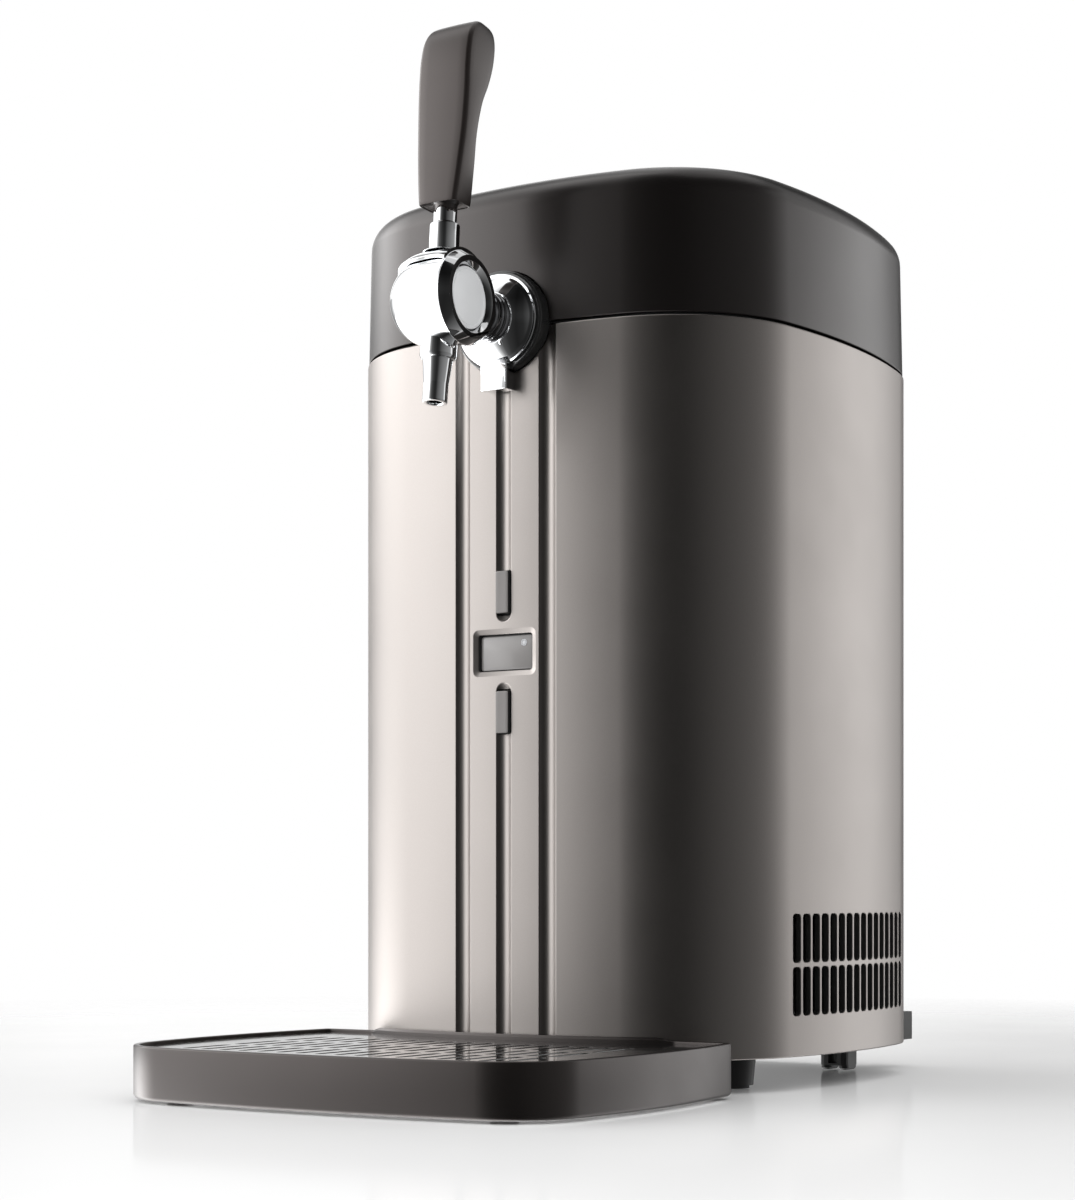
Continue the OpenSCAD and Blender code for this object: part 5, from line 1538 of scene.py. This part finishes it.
class KEG_OT_tray(bpy.types.Operator):
    """Makes the drip tray and its slotted grid"""

    bl_idname = "keg.tray"
    bl_label = "Drip tray"

    def execute(self, context):
        self.sizes = context.scene.keg_tray
        self.oval = Oval(context.scene.keg_housing)
        self.tray()
        self.grid()
        dress(["tray_pads"], "rubber", 0.2 * MM)
        return {"FINISHED"}

    def plan(self, inset, back):
        """The tray's outline, moved in by inset from its own edge and by back from the hollow that
        fits the housing, with a mark for each point: 0 at its own edge, and 1 along the hollow."""
        sizes = self.sizes
        front_y = HOUSE_LOW.y
        half = TRAY_HIGH.x
        reach = front_y - TRAY_LOW.y
        front_c = Vector((0, TRAY_LOW.y + sizes.front_r))
        side_c = Vector((half - sizes.side_r, front_y - 0.37 * reach))
        corner_c = circles_meet(front_c, sizes.front_r - sizes.corner_r,
                                side_c, sizes.side_r - sizes.corner_r)
        a1, a2 = turn_of(corner_c - front_c), turn_of(corner_c - side_c)
        end_y = front_y + sizes.tip - inset
        a3 = math.asin((end_y - side_c.y) / (sizes.side_r - inset))
        outer = arc(front_c, sizes.front_r - inset, -math.pi / 2, a1, 14)
        outer += arc(corner_c, sizes.corner_r - inset, a1, a2, 18)[1:]
        outer += arc(side_c, sizes.side_r - inset, a2, a3, 18)[1:]
        gap = sizes.gap + back
        end = last_before(0.0, self.oval.length / 4, lambda s: self.oval.at(s, -gap)[0].y < end_y)
        hollow = [self.oval.at(end * (1 - k / 34), -gap)[0].xy for k in range(35)]
        round_r = max(1.0 * MM, 3.4 * MM - inset * 0.6)
        right, marks = self.tipped(outer, hollow, round_r)
        left = [Vector((-p.x, p.y)) for p in reversed(right[1:-1])]
        return right + left, marks + marks[-2:0:-1]

    def tipped(self, outer, hollow, radius):
        """The right half of the outline, its tip's two corners rounded."""
        points, marks = list(outer[:-1]), [0.0] * (len(outer) - 1)
        corners = ((outer[-2], outer[-1], hollow[0]), (outer[-1], hollow[0], hollow[1]))
        for before, corner, after in corners:
            nearer = min((before - corner).length, (after - corner).length)
            reach = min(radius, (hollow[0] - outer[-1]).length * 0.45, nearer * 0.9)
            points += eased(before, corner, after, reach, 5)
            marks += [0.0] * 6
        points += hollow[1:]
        marks += [smooth(k / 3) for k in range(1, len(hollow))]
        return points, marks

    def rings(self, steps, lip):
        """Rings of the outline, one for each step: inset, back, height and the lip's share."""
        made = []
        for inset, back, z, share in steps:
            points, marks = self.plan(inset, back)
            made.append([Vector((p.x, p.y, z + lip * share * mark)) for p, mark in zip(points, marks)])
        return made

    def tray(self):
        """The tray's shell: outer side, rim with a raised lip along the housing, ledge and floor."""
        sizes = self.sizes
        wall, r, inner_r, bend = sizes.wall, sizes.edge_r, 0.7 * MM, 0.3 * MM
        foot, rim = TRAY_LOW.z, TRAY_HIGH.z - sizes.lip
        ledge, floor = GRID_LOW.z - bend, TRAY_LOW.z + 2.4 * MM
        steps = [(2.2 * MM, 1.4 * MM, foot, 0), (1.3 * MM, 1.0 * MM, foot + 0.15 * MM, 0),
                 (0.5 * MM, 0.4 * MM, foot + 0.8 * MM, 0), (0, 0, foot + 2.0 * MM, 0)]
        # From here on the wall is as thick along the housing as along the tray's own edge
        inward = [(r * (1 - math.cos(a)), rim - r + r * math.sin(a), 1) for a in quarter(5)]
        inward += [(wall - inner_r * (1 - math.sin(a)), rim - inner_r * (1 - math.cos(a)),
                    1 if a < 0.5 else 0.6) for a in quarter(5)]
        step = wall + 2.5 * MM
        inward += [(wall, ledge + bend, 0), (wall + bend, ledge, 0), (step - bend, ledge, 0),
                   (step, ledge - bend, 0), (step + 0.4 * MM, floor + 2.4 * MM, 0),
                   (step + 1.2 * MM, floor + 0.7 * MM, 0), (step + 2.8 * MM, floor, 0)]
        made = bmesh.new()
        rows = loft(made, self.rings(steps + [(d, d, z, share) for d, z, share in inward], sizes.lip))
        for row in (rows[0], rows[-1]):
            edges = [made.edges.get((a, b)) for a, b in zip(row, row[1:] + row[:1])]
            bmesh.ops.triangle_fill(made, use_beauty=True, use_dissolve=False, edges=edges)
        bmesh.ops.recalc_face_normals(made, faces=made.faces)
        house, half = HOUSE_LOW, 9 * MM
        tongues = [block((x - half, house.y - 3 * MM, house.z - 6.3 * MM),
                         (x + half, house.y + 19 * MM, house.z - 0.3 * MM), 1 * MM)
                   for x in (-38 * MM, 38 * MM)]
        piece("tray_shell", merged(made, *tongues), "tray", "tray", ["drip_tray"], sharp=42)

    def grid(self):
        """The grid: a plate with rounded edges and three rows of slots."""
        sizes = self.sizes
        thick = GRID_HIGH.z - GRID_LOW.z
        inset = sizes.wall + 0.6 * MM
        slab = Slab()

        def outline(d):
            return self.plan(inset + d, inset + d)[0]
        slab.opening(outline, edge_profile(0.6 * MM, thick, 3, 0.3 * MM))
        front, back = GRID_LOW.y + 20.4 * MM, HOUSE_LOW.y - 24 * MM
        row_l = (back - front) / 3
        columns = int((TRAY_HIGH.x - 30 * MM) / sizes.slot_pitch)
        for row in range(3):
            for i in range(-columns, columns + 1):
                place = (i * sizes.slot_pitch, front + (row + 0.5) * row_l)

                def slot(d, place=place):
                    return rounded(sizes.slot_w + 2 * d, row_l - 6 * MM + 2 * d,
                                   sizes.slot_w / 2 - 0.1 * MM + d, place, 5)
                slab.opening(slot, edge_profile(0.5 * MM, thick, 3, 0.2 * MM))
        slab.skins()

        def flat(co, normal):
            return (Vector((co.x, co.y, GRID_HIGH.z - co.z)),
                    Vector((normal.x, normal.y, -normal.z)))
        piece("grid_plate", slab.bend(flat), "gloss_black", "grid", ["drip_grid"],
              normals=slab.normal)


# ---- Hinge, feet, rear and insides ----

class KEG_OT_hinge(bpy.types.Operator):
    """Finishes the lid's hinge and its screws"""

    bl_idname = "keg.hinge"
    bl_label = "Hinge"

    def execute(self, context):
        dress(["hinge_base", "hinge_flap"], "black", 0.5 * MM)
        dress(["hinge_pin", "hinge_base_screws", "hinge_flap_screws"], "steel", 0.3 * MM)
        return {"FINISHED"}


class KEG_OT_base(bpy.types.Operator):
    """Finishes the base pan, the feet, the rear grille and the power inlet"""

    bl_idname = "keg.base"
    bl_label = "Base and rear"

    def execute(self, context):
        dress(["base_pan", "front_feet", "rear_feet", "rear_grille", "fan_frame", "fan_rotor",
               "power_inlet"], "black", 0.5 * MM)
        dress(["foot_pads"], "rubber", 0.4 * MM)
        dress(["base_screws", "grille_screws", "cooler_screws"], "steel", 0.2 * MM)
        return {"FINISHED"}


class KEG_OT_insides(bpy.types.Operator):
    """Finishes what shows with the lid open, and what lies behind the vents"""

    bl_idname = "keg.insides"
    bl_label = "Insides"

    def execute(self, context):
        dress(["top_frame", "display_module", "button_switches", "keg_coupler"], "black", 0.5 * MM)
        dress(["keg_well"], "aluminium", 0.3 * MM)
        dress(["heat_sink", "cold_block"], "sink", 0.3 * MM)
        dress(["well_insulation", "peltier_module"], "foam")
        dress(["power_board", "control_board"], "board", 0.2 * MM)
        dress(["beer_line"], "hose")
        return {"FINISHED"}


# ---- The panel in the sidebar ----

STEPS = (KEG_OT_stage, KEG_OT_housing, KEG_OT_panel, KEG_OT_lid, KEG_OT_tap, KEG_OT_handle,
         KEG_OT_tray, KEG_OT_hinge, KEG_OT_base, KEG_OT_insides)


class KEG_PT_sidebar(bpy.types.Panel):
    """Lists the steps that build the dispenser, and its sizes and colours"""

    bl_idname = "KEG_PT_sidebar"
    bl_label = "Keg dispenser"
    bl_space_type = "VIEW_3D"
    bl_region_type = "UI"
    bl_category = "Keg dispenser"

    def draw(self, context):
        column = self.layout.column(align=True)
        for step in STEPS:
            column.operator(step.bl_idname)
        for name in GROUPS:
            box = self.layout.box()
            group = getattr(context.scene, name)
            for key in group.bl_rna.properties.keys():
                if key not in {"rna_type", "name"}:
                    box.prop(group, key)


CLASSES = (*GROUPS.values(), *STEPS, KEG_PT_sidebar)


def register():
    for one in CLASSES:
        bpy.utils.register_class(one)
    for name, group in GROUPS.items():
        setattr(bpy.types.Scene, name, bpy.props.PointerProperty(type=group))


def unregister():
    for name in GROUPS:
        delattr(bpy.types.Scene, name)
    for one in reversed(CLASSES):
        bpy.utils.unregister_class(one)


def main():
    register()
    for step in STEPS:
        group, name = step.bl_idname.split(".")
        getattr(getattr(bpy.ops, group), name)()


if __name__ == "__main__":
    main()
